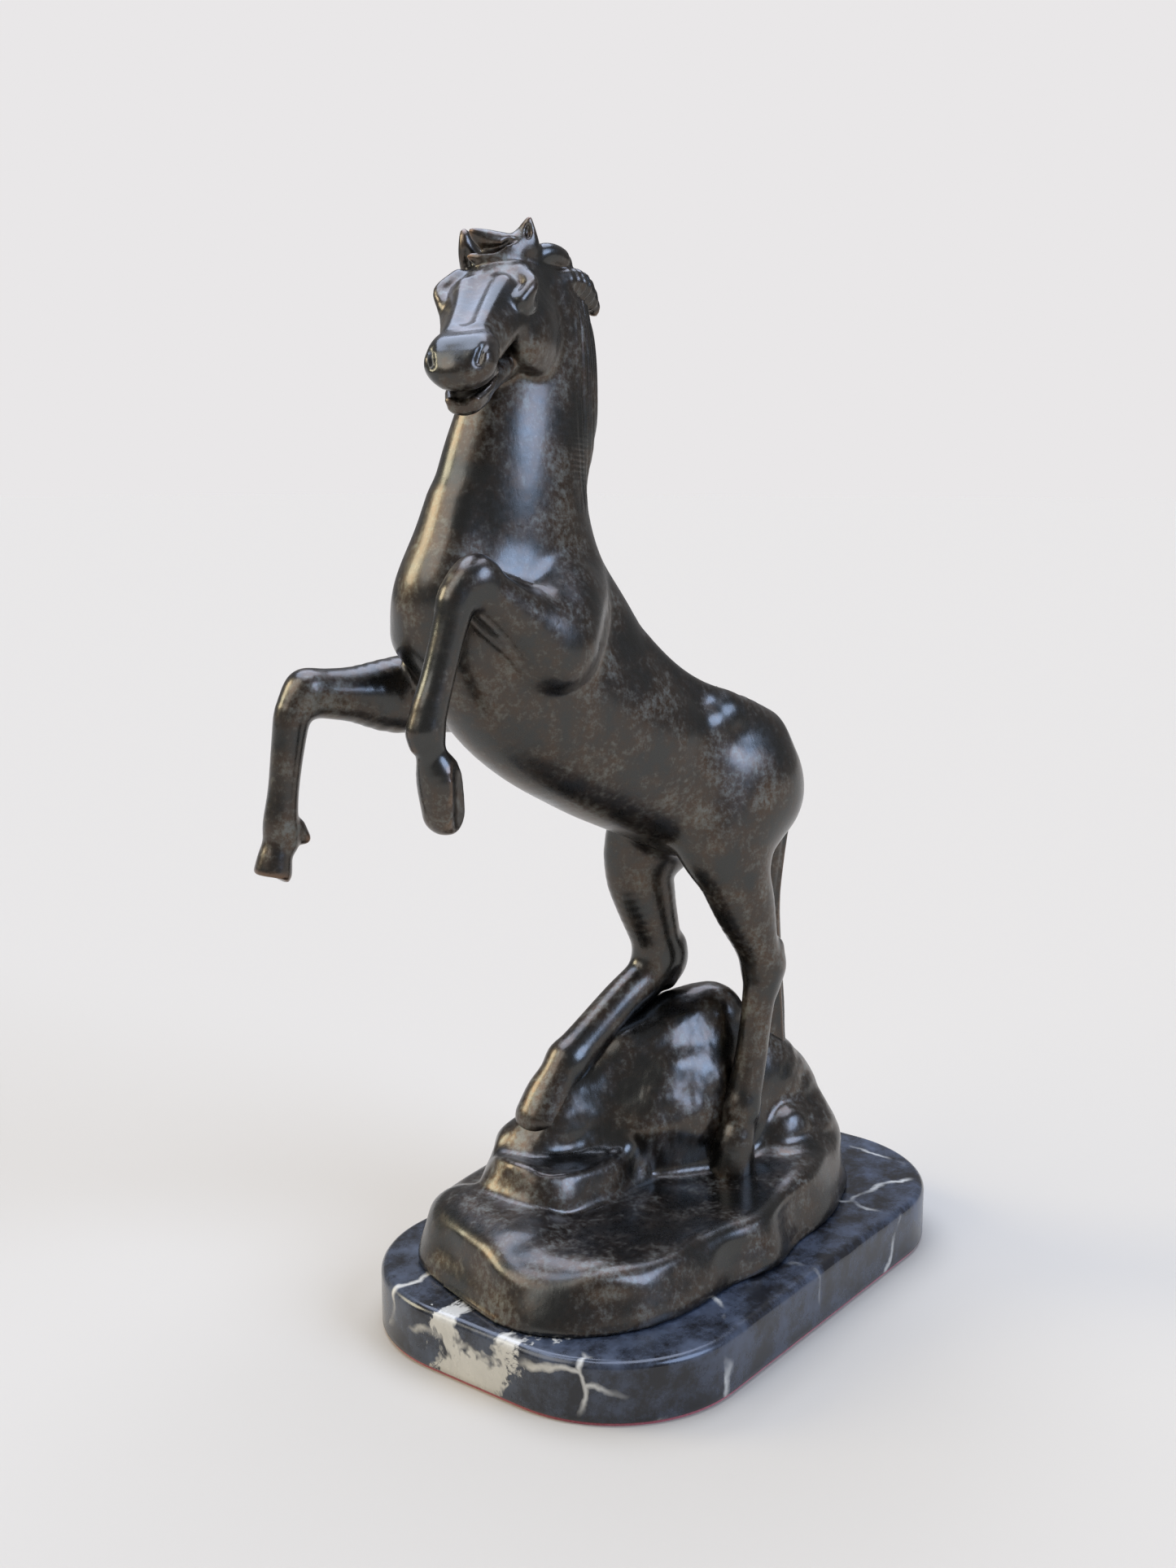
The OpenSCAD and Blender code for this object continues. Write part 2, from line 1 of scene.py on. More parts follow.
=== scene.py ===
import bpy
import numpy as np
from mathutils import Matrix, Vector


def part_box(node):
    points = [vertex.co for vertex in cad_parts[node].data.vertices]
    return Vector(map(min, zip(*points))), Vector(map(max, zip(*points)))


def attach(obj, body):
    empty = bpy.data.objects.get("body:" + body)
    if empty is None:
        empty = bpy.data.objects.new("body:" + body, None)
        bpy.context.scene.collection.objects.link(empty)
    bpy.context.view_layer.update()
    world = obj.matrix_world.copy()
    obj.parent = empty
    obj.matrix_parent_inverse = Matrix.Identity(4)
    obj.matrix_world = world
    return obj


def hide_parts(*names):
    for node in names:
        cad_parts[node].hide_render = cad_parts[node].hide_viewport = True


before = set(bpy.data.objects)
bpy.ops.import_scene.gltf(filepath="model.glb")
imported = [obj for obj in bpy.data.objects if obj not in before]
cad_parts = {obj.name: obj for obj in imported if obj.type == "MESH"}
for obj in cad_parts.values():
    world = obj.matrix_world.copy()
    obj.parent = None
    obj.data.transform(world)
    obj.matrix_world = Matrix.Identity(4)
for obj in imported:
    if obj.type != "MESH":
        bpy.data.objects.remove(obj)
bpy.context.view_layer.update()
MM = 0.001

# ---- Felt pad
# A sheet of red wool felt, cut a little smaller than the marble and glued under it.
# It is the plain CAD piece, and only its edge shows.


def linear(code):
    """An sRGB hex colour as linear red, green, blue and alpha."""
    part = np.array([int(code[i:i + 2], 16) for i in (1, 3, 5)]) / 255
    return (*np.where(part <= 0.04045, part / 12.92, ((part + 0.055) / 1.055) ** 2.4), 1.0)


def new_finish(name, **sockets):
    """A material with one Principled shader. The sockets are its fixed values, with _ for a space."""
    finish = bpy.data.materials.new(name)
    finish.use_nodes = True
    shader = finish.node_tree.nodes["Principled BSDF"]
    for key, value in sockets.items():
        shader.inputs[key.replace("_", " ")].default_value = value
    return finish, finish.node_tree, shader


def add_node(tree, kind, inputs=None, **settings):
    """One shader node. Each input, by name or number, takes a value or another node's output."""
    made = tree.nodes.new("ShaderNode" + kind)
    for name, value in settings.items():
        setattr(made, name, value)
    for key, source in (inputs or {}).items():
        if isinstance(source, bpy.types.NodeSocket):
            tree.links.new(source, made.inputs[key])
        else:
            made.inputs[key].default_value = source
    return made


def lump_scale(size):
    """The noise scale whose lumps are size millimetres across."""
    return 1 / (size * MM)


def wool_felt():
    """Pressed wool: dull, with a fibre a third of a millimetre thick drawn at 1 mm so that it shows."""
    finish, tree, shader = new_finish("wool_felt", Roughness=0.95, Sheen_Weight=0.4)
    place = add_node(tree, "TexCoord").outputs["Object"]
    fibre = add_node(tree, "TexNoise", {"Vector": place, "Scale": lump_scale(1), "Detail": 4.0})
    mixed = add_node(tree, "Mix", {0: fibre.outputs[0], 6: linear("#8E3B40"), 7: linear("#C4757A")},
                     data_type="RGBA")
    bump = add_node(tree, "Bump", {"Height": fibre.outputs[0], "Strength": 0.6, "Distance": 0.3 * MM})
    tree.links.new(mixed.outputs[2], shader.inputs["Base Color"])
    tree.links.new(bump.outputs[0], shader.inputs["Normal"])
    return finish


def give_finish(part, finish):
    """The finish in the part's only material slot."""
    part.data.materials.clear()
    part.data.materials.append(finish)


give_finish(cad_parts["felt_pad"], wool_felt())

# ---- Marble plinth
# A slab of black marble with cream and white veins, sawn, its corners turned to a wide radius,
# its top edge eased by hand and chipped by use, then polished. The rock is bolted to it.
PLINTH_LOW, PLINTH_HIGH = (np.array(corner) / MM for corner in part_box("marble_plinth"))
MARBLE_TOP = PLINTH_HIGH[2]
CORNER_RADIUS = 68
EASED_EDGE = 4.0
ARC_STEPS = 28
SIDE_STEP = 4.0


def plinth_outline():
    """Once round the slab: points on the core rectangle that its corners turn about, and the ways out."""
    core = PLINTH_HIGH[:2] - CORNER_RADIUS
    points, outward = [], []
    corners = core * [[1, -1], [1, 1], [-1, 1], [-1, -1]]
    for i, corner in enumerate(corners):
        turn = np.radians(90 * (i - 1) + np.linspace(0, 90, ARC_STEPS))
        points.append(np.tile(corner, (ARC_STEPS, 1)))
        outward.append(np.stack([np.cos(turn), np.sin(turn)], 1))
        side = corners[(i + 1) % 4] - corner
        count = int(np.hypot(*side) / SIDE_STEP)
        share = (np.arange(1, count) / count)[:, None]
        points.append(corner + share * side)
        outward.append(np.tile(outward[-1][-1], (count - 1, 1)))
    return np.vstack(points), np.vstack(outward)


def closed_rings(rings):
    """Quads between rings of the same count, and a fan to each end's middle. Rings run upwards outside."""
    count, sides = len(rings), len(rings[0])
    points = np.vstack([*rings, rings[0].mean(0)[None], rings[-1].mean(0)[None]])
    i = np.arange(sides)
    j = (i + 1) % sides
    quads = [np.stack([r * sides + i, r * sides + j, (r + 1) * sides + j, (r + 1) * sides + i], 1)
             for r in range(count - 1)]
    last = (count - 1) * sides
    caps = [np.stack([np.full(sides, count * sides), j, i], 1),
            np.stack([np.full(sides, count * sides + 1), last + i, last + j], 1)]
    return points, [*np.vstack(quads).tolist(), *np.vstack(caps).tolist()]


def new_piece(name, points, faces, finish, slot, *stands_for):
    """A smooth-shaded piece from points in frame millimetres. It rides on the statue's one body."""
    mesh = bpy.data.meshes.new(name)
    mesh.from_pydata((points * MM).tolist(), [], faces)
    mesh.polygons.foreach_set("use_smooth", np.ones(len(mesh.polygons), bool))
    mesh.materials.append(finish)
    piece = bpy.data.objects.new(name, mesh)
    bpy.context.scene.collection.objects.link(piece)
    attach(piece, "root")
    if stands_for:
        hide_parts(*stands_for)
    return piece


def lumps(points, size, seed):
    """Smooth random relief from -1 to 1: seeded values on a lattice of that size, eased from cell to cell."""
    lattice = np.random.default_rng(seed).uniform(-1, 1, (32, 32, 32))
    place = points / size
    cell = np.floor(place).astype(int)
    share = place - cell
    share = share * share * (3 - 2 * share)
    total = np.zeros(len(points))
    for corner in np.ndindex(2, 2, 2):
        weight = np.prod(np.where(corner, share, 1 - share), axis=1)
        total += weight * lattice[tuple(((cell + corner) % 32).T)]
    return total


def black_marble():
    """Polished limestone marble: glossy black, hazed by scuffs, cut by cream veins of 1 to 30 mm."""
    finish, tree, shader = new_finish("black_marble", Specular_IOR_Level=0.5, Coat_Weight=0.25,
                                      Coat_Roughness=0.12)
    place = add_node(tree, "TexCoord").outputs["Object"]
    warp = add_node(tree, "TexNoise", {"Vector": place, "Scale": lump_scale(60), "Detail": 5.0})
    bent = add_node(tree, "VectorMath", {0: warp.outputs["Color"], 1: (0.5, 0.5, 0.5)}, operation="SUBTRACT")
    bent = add_node(tree, "VectorMath", {0: bent.outputs[0], "Scale": 45 * MM}, operation="SCALE")
    moved = add_node(tree, "VectorMath", {0: place, 1: bent.outputs[0]}, operation="ADD").outputs[0]
    crack = add_node(tree, "TexVoronoi", {"Vector": moved, "Scale": lump_scale(85)},
                     feature="DISTANCE_TO_EDGE")
    thin = add_node(tree, "MapRange", {0: crack.outputs["Distance"], 1: 0.004, 2: 0.022, 3: 1.0, 4: 0.0})
    gate = add_node(tree, "TexNoise", {"Vector": place, "Scale": lump_scale(38), "Detail": 2.0})
    gate = add_node(tree, "MapRange", {0: gate.outputs[0], 1: 0.47, 2: 0.6})
    veins = add_node(tree, "Math", {0: thin.outputs[0], 1: gate.outputs[0]}, operation="MULTIPLY")
    # The broad cream patch crosses the front end, from the rock's foot down the wall
    patch = add_node(tree, "Mapping", {"Vector": moved, "Location": (0.1173, 0.0647, 0),
                                       "Rotation": (0, 0, 0.5)})
    patch = add_node(tree, "Mapping", {"Vector": patch.outputs[0], "Scale": (0.85, 1.25, 0.25)})
    reach = add_node(tree, "VectorMath", {0: patch.outputs[0]}, operation="LENGTH")
    curl = add_node(tree, "TexNoise", {"Vector": moved, "Scale": lump_scale(20), "Detail": 6.0,
                                       "Roughness": 0.68})
    ragged = add_node(tree, "Math", {0: curl.outputs[0], 1: -0.11, 2: reach.outputs["Value"]},
                      operation="MULTIPLY_ADD")
    cream = add_node(tree, "MapRange", {0: ragged.outputs[0], 1: -0.0215, 2: -0.0265})
    island = add_node(tree, "TexNoise", {"Vector": moved, "Scale": lump_scale(30), "Detail": 4.0,
                                         "Roughness": 0.6})
    island = add_node(tree, "MapRange", {0: island.outputs[0], 1: 0.43, 2: 0.48})
    cream = add_node(tree, "Math", {0: cream.outputs[0], 1: island.outputs[0]}, operation="MULTIPLY")
    white = add_node(tree, "Math", {0: veins.outputs[0], 1: cream.outputs[0]}, operation="MAXIMUM")
    scuff = add_node(tree, "TexNoise", {"Vector": place, "Scale": lump_scale(22), "Detail": 8.0,
                                        "Roughness": 0.7})
    haze = add_node(tree, "MapRange", {0: scuff.outputs[0], 1: 0.42, 2: 0.72})
    dark = add_node(tree, "Mix", {0: haze.outputs[0], 6: linear("#141519"), 7: linear("#4A5260")},
                    data_type="RGBA")
    tone = add_node(tree, "Mix", {0: curl.outputs[0], 6: linear("#9A958A"), 7: linear("#D9D4C7")},
                    data_type="RGBA")
    both = add_node(tree, "Mix", {0: white.outputs[0], 6: dark.outputs[2], 7: tone.outputs[2]},
                    data_type="RGBA")
    rough = add_node(tree, "MapRange", {0: scuff.outputs[0], 1: 0.35, 2: 0.7, 3: 0.14, 4: 0.42})
    grit = add_node(tree, "TexNoise", {"Vector": place, "Scale": lump_scale(1.5), "Detail": 3.0})
    bump = add_node(tree, "Bump", {"Height": grit.outputs[0], "Strength": 0.08, "Distance": 0.2 * MM})
    tree.links.new(both.outputs[2], shader.inputs["Base Color"])
    tree.links.new(rough.outputs[0], shader.inputs["Roughness"])
    tree.links.new(bump.outputs[0], shader.inputs["Normal"])
    return finish


def marble_slab():
    """Rings of the outline, each drawn in by an inset: an arris, the wall, a rounded edge, the flat top."""
    core, outward = plinth_outline()
    ease = np.linspace(0, np.pi / 2, 9)
    steps = [(0.8, PLINTH_LOW[2]), (0.0, PLINTH_LOW[2] + 0.8)]
    steps += [(0.0, z) for z in np.linspace(PLINTH_LOW[2] + 3, MARBLE_TOP - EASED_EDGE, 7)]
    steps += [(EASED_EDGE * (1 - np.cos(a)), MARBLE_TOP - EASED_EDGE * (1 - np.sin(a))) for a in ease[1:]]
    rings = [np.column_stack([core + outward * (CORNER_RADIUS - inset), np.full(len(core), z)])
             for inset, z in steps]
    # Chips: short bites out of the top edge, deepest at the arris
    for ring, (inset, _) in zip(rings, steps):
        if inset > 0 and ring[0, 2] > MARBLE_TOP - EASED_EDGE:
            bite = np.clip(lumps(ring, 7, 3) - 0.45, 0, 1) * np.sin(np.pi * inset / EASED_EDGE)
            ring -= 1.8 * bite[:, None] * np.column_stack([outward, np.ones(len(core))])
    flat = [(s, MARBLE_TOP) for s in (0.97, 0.9, 0.75, 0.5, 0.2)]
    top = [np.column_stack([rings[-1][:, :2] * s, np.full(len(core), z)]) for s, z in flat]
    under = [np.column_stack([rings[0][:, :2] * s, np.full(len(core), PLINTH_LOW[2])]) for s in (0.2, 0.6)]
    points, faces = closed_rings([*under, *rings, *top])
    return new_piece("marble_slab", points, faces, black_marble(), "black_marble", "marble_plinth")


marble_slab()

# ---- Rock
# A hollow bronze casting of a wet clay rock: a low terrace for the left hind hoof, a higher one
# at the far front, and a crag under the right hind leg. Three studs hold it to the marble.
TURN = np.radians(15)
CELL = 1.25
STAND = MARBLE_TOP + 32
SAW_FADE = 4.0


class Clay:
    """A block of clay cells, in the horse's own millimetres: x tailwards, y to its right, z up.

    Each cell holds its distance to the clay's skin, below zero inside."""

    def __init__(self, low, high, cell=CELL):
        """An empty block between two corners."""
        self.low = np.array(low, np.float32)
        self.cell = cell
        count = np.ceil((np.array(high) - self.low) / cell).astype(int) + 1
        self.depth = np.full(count, 1000.0, np.float32)
        self.trimmed = np.full(count, -1000.0, np.float32)

    def trim(self, beyond):
        """Saws away the clay where the distance beyond is above zero."""
        self.trimmed = np.maximum(self.trimmed, beyond)
        self.depth = np.maximum(self.depth, beyond)

    def part(self, low, high):
        """The slices between two corners, and their x, y and z as open grids, or None."""
        first = np.clip(np.floor((low - self.low) / self.cell).astype(int), 0, self.depth.shape)
        last = np.clip(np.ceil((high - self.low) / self.cell).astype(int) + 1, 0, self.depth.shape)
        if (last <= first).any():
            return None, None
        axes = [(self.low[i] + self.cell * np.arange(first[i], last[i])).astype(np.float32) for i in range(3)]
        return tuple(slice(a, b) for a, b in zip(first, last)), np.ix_(*axes)

    def all(self):
        """x, y and z of every cell, as open grids."""
        return self.part(self.low, self.low + self.cell * np.array(self.depth.shape))[1]

    def limb(self, rows, margin=12, turn=None, steps=4):
        """Distance to a chain of tapered ovals along a smooth curve through rows of [x, y, z, depth, width].

        Depth is half the oval in the plane of x and z, width half of it along y. turn is a rotation and an
        origin for rows in a frame of their own."""
        path = through(rows, steps)
        reach = path[:, 3:].max(1) + margin
        if turn is None:
            middle = path[:, :3]
        else:
            middle = path[:, :3] @ turn[0].T + turn[1]
        around = reach.max() + self.cell
        slices, _ = self.part(middle.min(0) - around, middle.max(0) + around)
        if slices is None:
            return None, None
        far = np.full([s.stop - s.start for s in slices], 1000.0, np.float32)
        for i in range(len(path) - 1):
            wide = max(reach[i], reach[i + 1])
            near, grid = self.part(np.minimum(middle[i], middle[i + 1]) - wide,
                                   np.maximum(middle[i], middle[i + 1]) + wide)
            if near is None:
                continue
            if turn is not None:
                x, y, z = (g - o for g, o in zip(grid, turn[1].astype(np.float32)))
                spin = turn[0].astype(np.float32)
                grid = [spin[0, k] * x + spin[1, k] * y + spin[2, k] * z for k in range(3)]
            window = tuple(slice(n.start - s.start, n.stop - s.start) for n, s in zip(near, slices))
            far[window] = np.minimum(far[window], oval_distance(grid, *path[i:i + 2].astype(np.float32)))
        return slices, far

    def press(self, rows, blend=6, **where):
        """Presses a limb of clay on, with a fillet of that size."""
        slices, far = self.limb(rows, **where)
        if slices is not None:
            self.depth[slices] = soft_min(self.depth[slices], far, blend)

    def cut(self, rows, blend=3, **where):
        """Cuts a limb's shape out, with its edge softened by blend."""
        slices, far = self.limb(rows, **where)
        if slices is not None:
            self.depth[slices] = -soft_min(-self.depth[slices], far, blend)


def through(rows, steps):
    """A Catmull-Rom curve through the rows; two rows give a straight line."""
    rows = np.asarray(rows, float)
    if len(rows) == 2:
        share = np.linspace(0, 1, steps + 1)[:, None]
        return rows[0] * (1 - share) + rows[1] * share
    ends = np.vstack([2 * rows[0] - rows[1], rows, 2 * rows[-1] - rows[-2]])
    t = (np.arange(steps) / steps)[:, None]
    parts = [0.5 * (2 * b + (c - a) * t + (2 * a - 5 * b + 4 * c - d) * t**2 + (3 * b - a - 3 * c + d) * t**3)
             for a, b, c, d in zip(ends, ends[1:], ends[2:], ends[3:])]
    path = np.vstack([*parts, rows[-1:]])
    path[:, 3:] = np.maximum(path[:, 3:], 0.3)
    return path


def oval_distance(grid, start, end):
    """Distance from the grid to one tapered oval limb: off its axis, with y stretched to make the oval round,
    less the depth there, and set right by the slope of the stretch."""
    way = end[:3] - start[:3]
    x, y, z = (g - s for g, s in zip(grid, start))
    share = np.clip((x * way[0] + y * way[1] + z * way[2]) / max(float(way @ way), 1e-6), 0, 1)
    depth = start[3] + share * (end[3] - start[3])
    stretch = depth / (start[4] + share * (end[4] - start[4]))
    x, y, z = x - share * way[0], (y - share * way[1]) * stretch, z - share * way[2]
    off = np.sqrt(x * x + y * y + z * z)
    slope = np.sqrt(x * x + (y * stretch) ** 2 + z * z) / np.maximum(off, 1e-4)
    return (off - depth) / np.maximum(slope, 1e-3)


def soft_min(a, b, blend):
    """The smaller of two distances, rounded where they meet."""
    near = np.maximum(blend - np.abs(a - b), 0) / blend
    return np.minimum(a, b) - near * near * blend / 4


def skin_of(clay, rounds=3):
    """The clay's skin as points and quads: one point in each cell that the skin crosses, at the mean of the
    crossings on its edges, then evened out with its neighbours."""
    depth = clay.depth
    inside = depth < 0
    corners = np.array(list(np.ndindex(2, 2, 2)))
    size = np.array(depth.shape) - 1
    count = sum(inside[tuple(slice(c, c + n) for c, n in zip(k, size))].astype(np.int8) for k in corners)
    cells = np.argwhere((count > 0) & (count < 8))
    number = np.full(size, -1, np.int32)
    number[tuple(cells.T)] = np.arange(len(cells))
    value = np.stack([depth[tuple((cells + k).T)] for k in corners], 1)
    total, hits = np.zeros((len(cells), 3)), np.zeros(len(cells))
    for a in range(8):
        for b in range(a + 1, 8):
            if np.abs(corners[a] - corners[b]).sum() == 1:
                crossed = (value[:, a] < 0) != (value[:, b] < 0)
                share = value[crossed, a] / (value[crossed, a] - value[crossed, b])
                total[crossed] += corners[a] + (corners[b] - corners[a]) * share[:, None]
                hits += crossed
    points = clay.low + clay.cell * (cells + total / hits[:, None])
    quads = []
    for axis in range(3):
        u, v = (k for k in range(3) if k != axis)
        span = [slice(1, n) for n in size]
        span[axis] = slice(0, size[axis])
        ahead = list(span)
        ahead[axis] = slice(1, size[axis] + 1)
        here, there = inside[tuple(span)], inside[tuple(ahead)]
        for turned, edges in ((False, here & ~there), (True, ~here & there)):
            at = np.argwhere(edges) + [0 if k == axis else 1 for k in range(3)]
            ring = []
            for du, dv in ((1, 1), (0, 1), (0, 0), (1, 0)):
                cell = at.copy()
                cell[:, u] -= du
                cell[:, v] -= dv
                ring.append(number[tuple(cell.T)])
            ring = np.stack(ring, 1)
            quads.append(ring[:, ::-1] if turned != (axis == 1) else ring)
    quads = np.vstack(quads)
    for _ in range(rounds):
        points = points + 0.5 * (beside(points, quads) - points)
    return points, quads


def beside(values, quads):
    """The mean of each point's neighbours along the quads' edges."""
    one, other = np.hstack([quads, np.roll(quads, 1, 1)]).T.reshape(2, -1)
    count = len(values)
    shared = np.bincount(one, minlength=count) + np.bincount(other, minlength=count)
    flat = values.reshape(count, -1)
    total = [np.bincount(one, f[other], count) + np.bincount(other, f[one], count) for f in flat.T]
    return (np.stack(total, 1) / shared[:, None]).reshape(values.shape)


def outward_of(points, quads):
    """Each point's outward direction: the sum of its quads' normals."""
    face = np.cross(points[quads[:, 2]] - points[quads[:, 0]], points[quads[:, 3]] - points[quads[:, 1]])
    total = np.stack([sum(np.bincount(quads[:, j], face[:, k], len(points)) for j in range(4))
                      for k in range(3)], 1)
    return total / np.maximum(np.linalg.norm(total, axis=1), 1e-9)[:, None]


def on_plinth(points):
    """Horse millimetres turned into frame millimetres: the horse stands askew on its plinth."""
    x, y = points[:, 0], points[:, 1]
    return np.column_stack([np.cos(TURN) * x + np.sin(TURN) * y, np.cos(TURN) * y - np.sin(TURN) * x,
                            points[:, 2]])


def cast(name, clay, finish, *stands_for, relief=None, rub=1.0):
    """A bronze casting of the clay. relief(points, outward) moves its skin in or out by millimetres.

    Its 'ridge' attribute is how sharply the skin bulges, per millimetre, and drives the rubbed edges."""
    points, quads = skin_of(clay)
    outward = outward_of(points, quads)
    if relief is not None:
        points = points + outward * relief(points, outward)[:, None]
    bulge = ((points - beside(points, quads)) * outward).sum(1) * 4 / clay.cell**2
    for _ in range(6):
        bulge = beside(bulge, quads)
    # Sawn edges are hidden in the joint, so they are never rubbed
    nearest = np.rint((points - clay.low) / clay.cell).astype(int).clip(0, np.array(clay.depth.shape) - 1)
    bulge *= np.clip(-clay.trimmed[tuple(nearest.T)] / SAW_FADE - 0.3, 0, 1)
    piece = new_piece(name, on_plinth(points), quads.tolist(), finish, "patinated_bronze", *stands_for)
    ridge = piece.data.attributes.new("ridge", "FLOAT", "POINT")
    ridge.data.foreach_set("value", (rub * bulge).astype(np.float32))
    return piece


def patinated_bronze():
    """Cast bronze, patinated brown-black and waxed: a dark metal under a thin clear wax, dusty grey-green in
    random patches, rubbed to warm brown and copper on the ridges."""
    finish, tree, shader = new_finish("patinated_bronze", Coat_Weight=0.25, Coat_Roughness=0.14)
    place = add_node(tree, "TexCoord").outputs["Object"]
    ridge = add_node(tree, "Attribute", attribute_name="ridge").outputs["Fac"]
    cloud = add_node(tree, "TexNoise", {"Vector": place, "Scale": lump_scale(26), "Detail": 6.0,
                                        "Roughness": 0.62})
    speck = add_node(tree, "TexNoise", {"Vector": place, "Scale": lump_scale(3.2), "Detail": 6.0,
                                        "Roughness": 0.75})
    warm = add_node(tree, "MapRange", {0: cloud.outputs[0], 1: 0.42, 2: 0.66})
    brown = add_node(tree, "Mix", {0: warm.outputs[0], 6: linear("#474745"), 7: linear("#57483C")},
                     data_type="RGBA")
    mottle = add_node(tree, "Math", {0: speck.outputs[0], 1: cloud.outputs[0]}, operation="MULTIPLY")
    dust = add_node(tree, "MapRange", {0: mottle.outputs[0], 1: 0.26, 2: 0.4, 3: 0.0, 4: 0.7})
    dusty = add_node(tree, "Mix", {0: dust.outputs[0], 6: brown.outputs[2], 7: linear("#75776F")},
                     data_type="RGBA")
    ragged = add_node(tree, "Math", {0: speck.outputs[0], 1: 0.16, 2: ridge}, operation="MULTIPLY_ADD")
    rubbed = add_node(tree, "MapRange", {0: ragged.outputs[0], 1: 0.21, 2: 0.46, 4: 0.8})
    bare = add_node(tree, "Mix", {0: rubbed.outputs[0], 6: dusty.outputs[2], 7: linear("#8C6C52")},
                    data_type="RGBA")
    rough = add_node(tree, "MapRange", {0: mottle.outputs[0], 1: 0.15, 2: 0.42, 3: 0.24, 4: 0.44})
    metal = add_node(tree, "MapRange", {0: dust.outputs[0], 3: 1.0, 4: 0.55})
    brushed = add_node(tree, "Mapping", {"Vector": place, "Scale": (1.0, 1.0, 0.35)})
    marks = add_node(tree, "TexNoise", {"Vector": brushed.outputs[0], "Scale": lump_scale(1.6),
                                        "Detail": 5.0})
    bump = add_node(tree, "Bump", {"Height": marks.outputs[0], "Strength": 0.22, "Distance": 0.25 * MM})
    tree.links.new(bare.outputs[2], shader.inputs["Base Color"])
    tree.links.new(rough.outputs[0], shader.inputs["Roughness"])
    tree.links.new(metal.outputs[0], shader.inputs["Metallic"])
    tree.links.new(bump.outputs[0], shader.inputs["Normal"])
    return finish


BRONZE = patinated_bronze()
ROCK_MIDDLE = (-15.0, 4.0)
ROCK_HALF = (126.0, 79.0)
ROCK_POWER = 3


def fade(x):
    """1 / (1 + e^x): one where x is well below zero, nothing where it is well above."""
    return 1 / (1 + np.exp(np.minimum(x, 60)))


def rock_ground(clay):
    """The terraces: a superellipse wall with a wavy foot, its top softly rounded into the ground's height."""
    x, y, z = clay.all()
    along = np.cos(TURN) * x + np.sin(TURN) * y - ROCK_MIDDLE[0]
    across = np.cos(TURN) * y - np.sin(TURN) * x - ROCK_MIDDLE[1]
    round_by = np.arctan2(across, along)
    wave = 2.2 * np.sin(5 * round_by) + 1.4 * np.sin(9 * round_by + 0.7)
    rise = np.clip((z - MARBLE_TOP) / 32, 0, 1)
    notch = 8 * np.exp(-((round_by + 2.87) / 0.13) ** 2) + 5 * np.exp(-((round_by + 2.2) / 0.1) ** 2)
    inset = wave + (notch + 10) * rise**3 + 2.5 * np.sin(np.pi * rise) ** 2
    reach = (np.abs(along / ROCK_HALF[0]) ** ROCK_POWER
             + np.abs(across / ROCK_HALF[1]) ** ROCK_POWER) ** (1 / ROCK_POWER)
    wall = (reach - 1) * 86 + inset
    plate_edge = np.abs((along + 30) / 45) ** 2.6 + np.abs((across - 26) / 34) ** 2.6
    plate_edge = plate_edge + 0.12 * np.sin(6 * round_by)
    plate = fade((plate_edge - 1) * 11)
    lobe_edge = ((along + 96) / 30) ** 2 + ((across - 28) / 38) ** 2 + 0.1 * np.sin(9 * round_by)
    lobe = fade((lobe_edge - 1) * 5)
    front = np.exp(-((along + 104) / 16) ** 2 - ((across + 52) / 20) ** 2)
    dish = np.exp(-((along - 4) / 50) ** 2 - ((across + 42) / 22) ** 2)
    tail_end = fade((30 - along) / 7)
    ground = MARBLE_TOP + 27 + 18 * plate + 6 * lobe + 3 * front - 2 * dish + 4 * tail_end * (1 - plate)
    return -soft_min(-wall, -(z - ground), 9.0).astype(np.float32)


def model_rock(clay):
    """The ground, then the crag: its body, its climb from the far hoof to the peak, its fall behind, the
    lumps beside the near hoof, and its near face."""
    clay.depth = rock_ground(clay)
    crag = [
        ([(20, 16, 46, 52, 38), (24, 16, 74, 42, 33), (27, 14, 100, 31, 29), (32, 11, 121, 18, 20)], 8),
        ([(-65, 29, 72, 17, 20), (-49, 27, 86, 18, 19), (-34, 25, 96, 18, 19), (-14, 23, 107, 19, 20),
          (12, 17, 119, 19, 20), (34, 10, 123, 20, 19)], 6),
        ([(40, 10, 114, 20, 18), (58, 8, 96, 25, 22), (76, 6, 74, 27, 26), (90, 4, 52, 22, 28)], 8),
        ([(64, -22, 58, 20, 13), (88, -8, 58, 17, 17)], 8),
        ([(-46, 21, 68, 15, 15), (-20, 12, 76, 25, 19), (8, 3, 84, 34, 23), (30, -2, 78, 34, 22)], 10),
    ]
    for rows, blend in crag:
        clay.press(rows, blend)
    # Its underside is ground flat to sit on the marble
    clay.cut([(x, y, MARBLE_TOP - 6, 5, 200) for x, y in ((-220, 0), (190, 0))], 0.1)


def rock_relief(points, outward):
    """Finger strokes and lumps: folds on the walls and the crag, faint ones on the smooth terrace."""
    z = points[:, 2]
    rough = np.clip((z - STAND + 2) / 14, 0.15, 1)
    steep = np.clip(1.5 - 2 * np.abs(outward[:, 2]), 0, 1)
    ripple = lumps(points * [0.5, 1, 1], 7, 11) * 0.5 + lumps(points * [1, 1, 0.5], 2.6, 12) * 0.12
    swell = lumps(points, 21, 13) * 1.9 + lumps(points * [1, 1, 1.8], 34, 14) * 1.6
    low = np.clip((z - MARBLE_TOP) / 4, 0, 1)
    return (swell * np.clip(rough + 0.8 * steep, 0, 1) + ripple * rough) * low


def rock():
    """The rock's casting."""
    clay = Clay((-165, -100, MARBLE_TOP - 3), (135, 118, 152))
    model_rock(clay)
    clay.trim((MARBLE_TOP + 0.2 - clay.all()[2]).astype(np.float32))
    return cast("rock", clay, BRONZE, "rock_casting", relief=rock_relief)


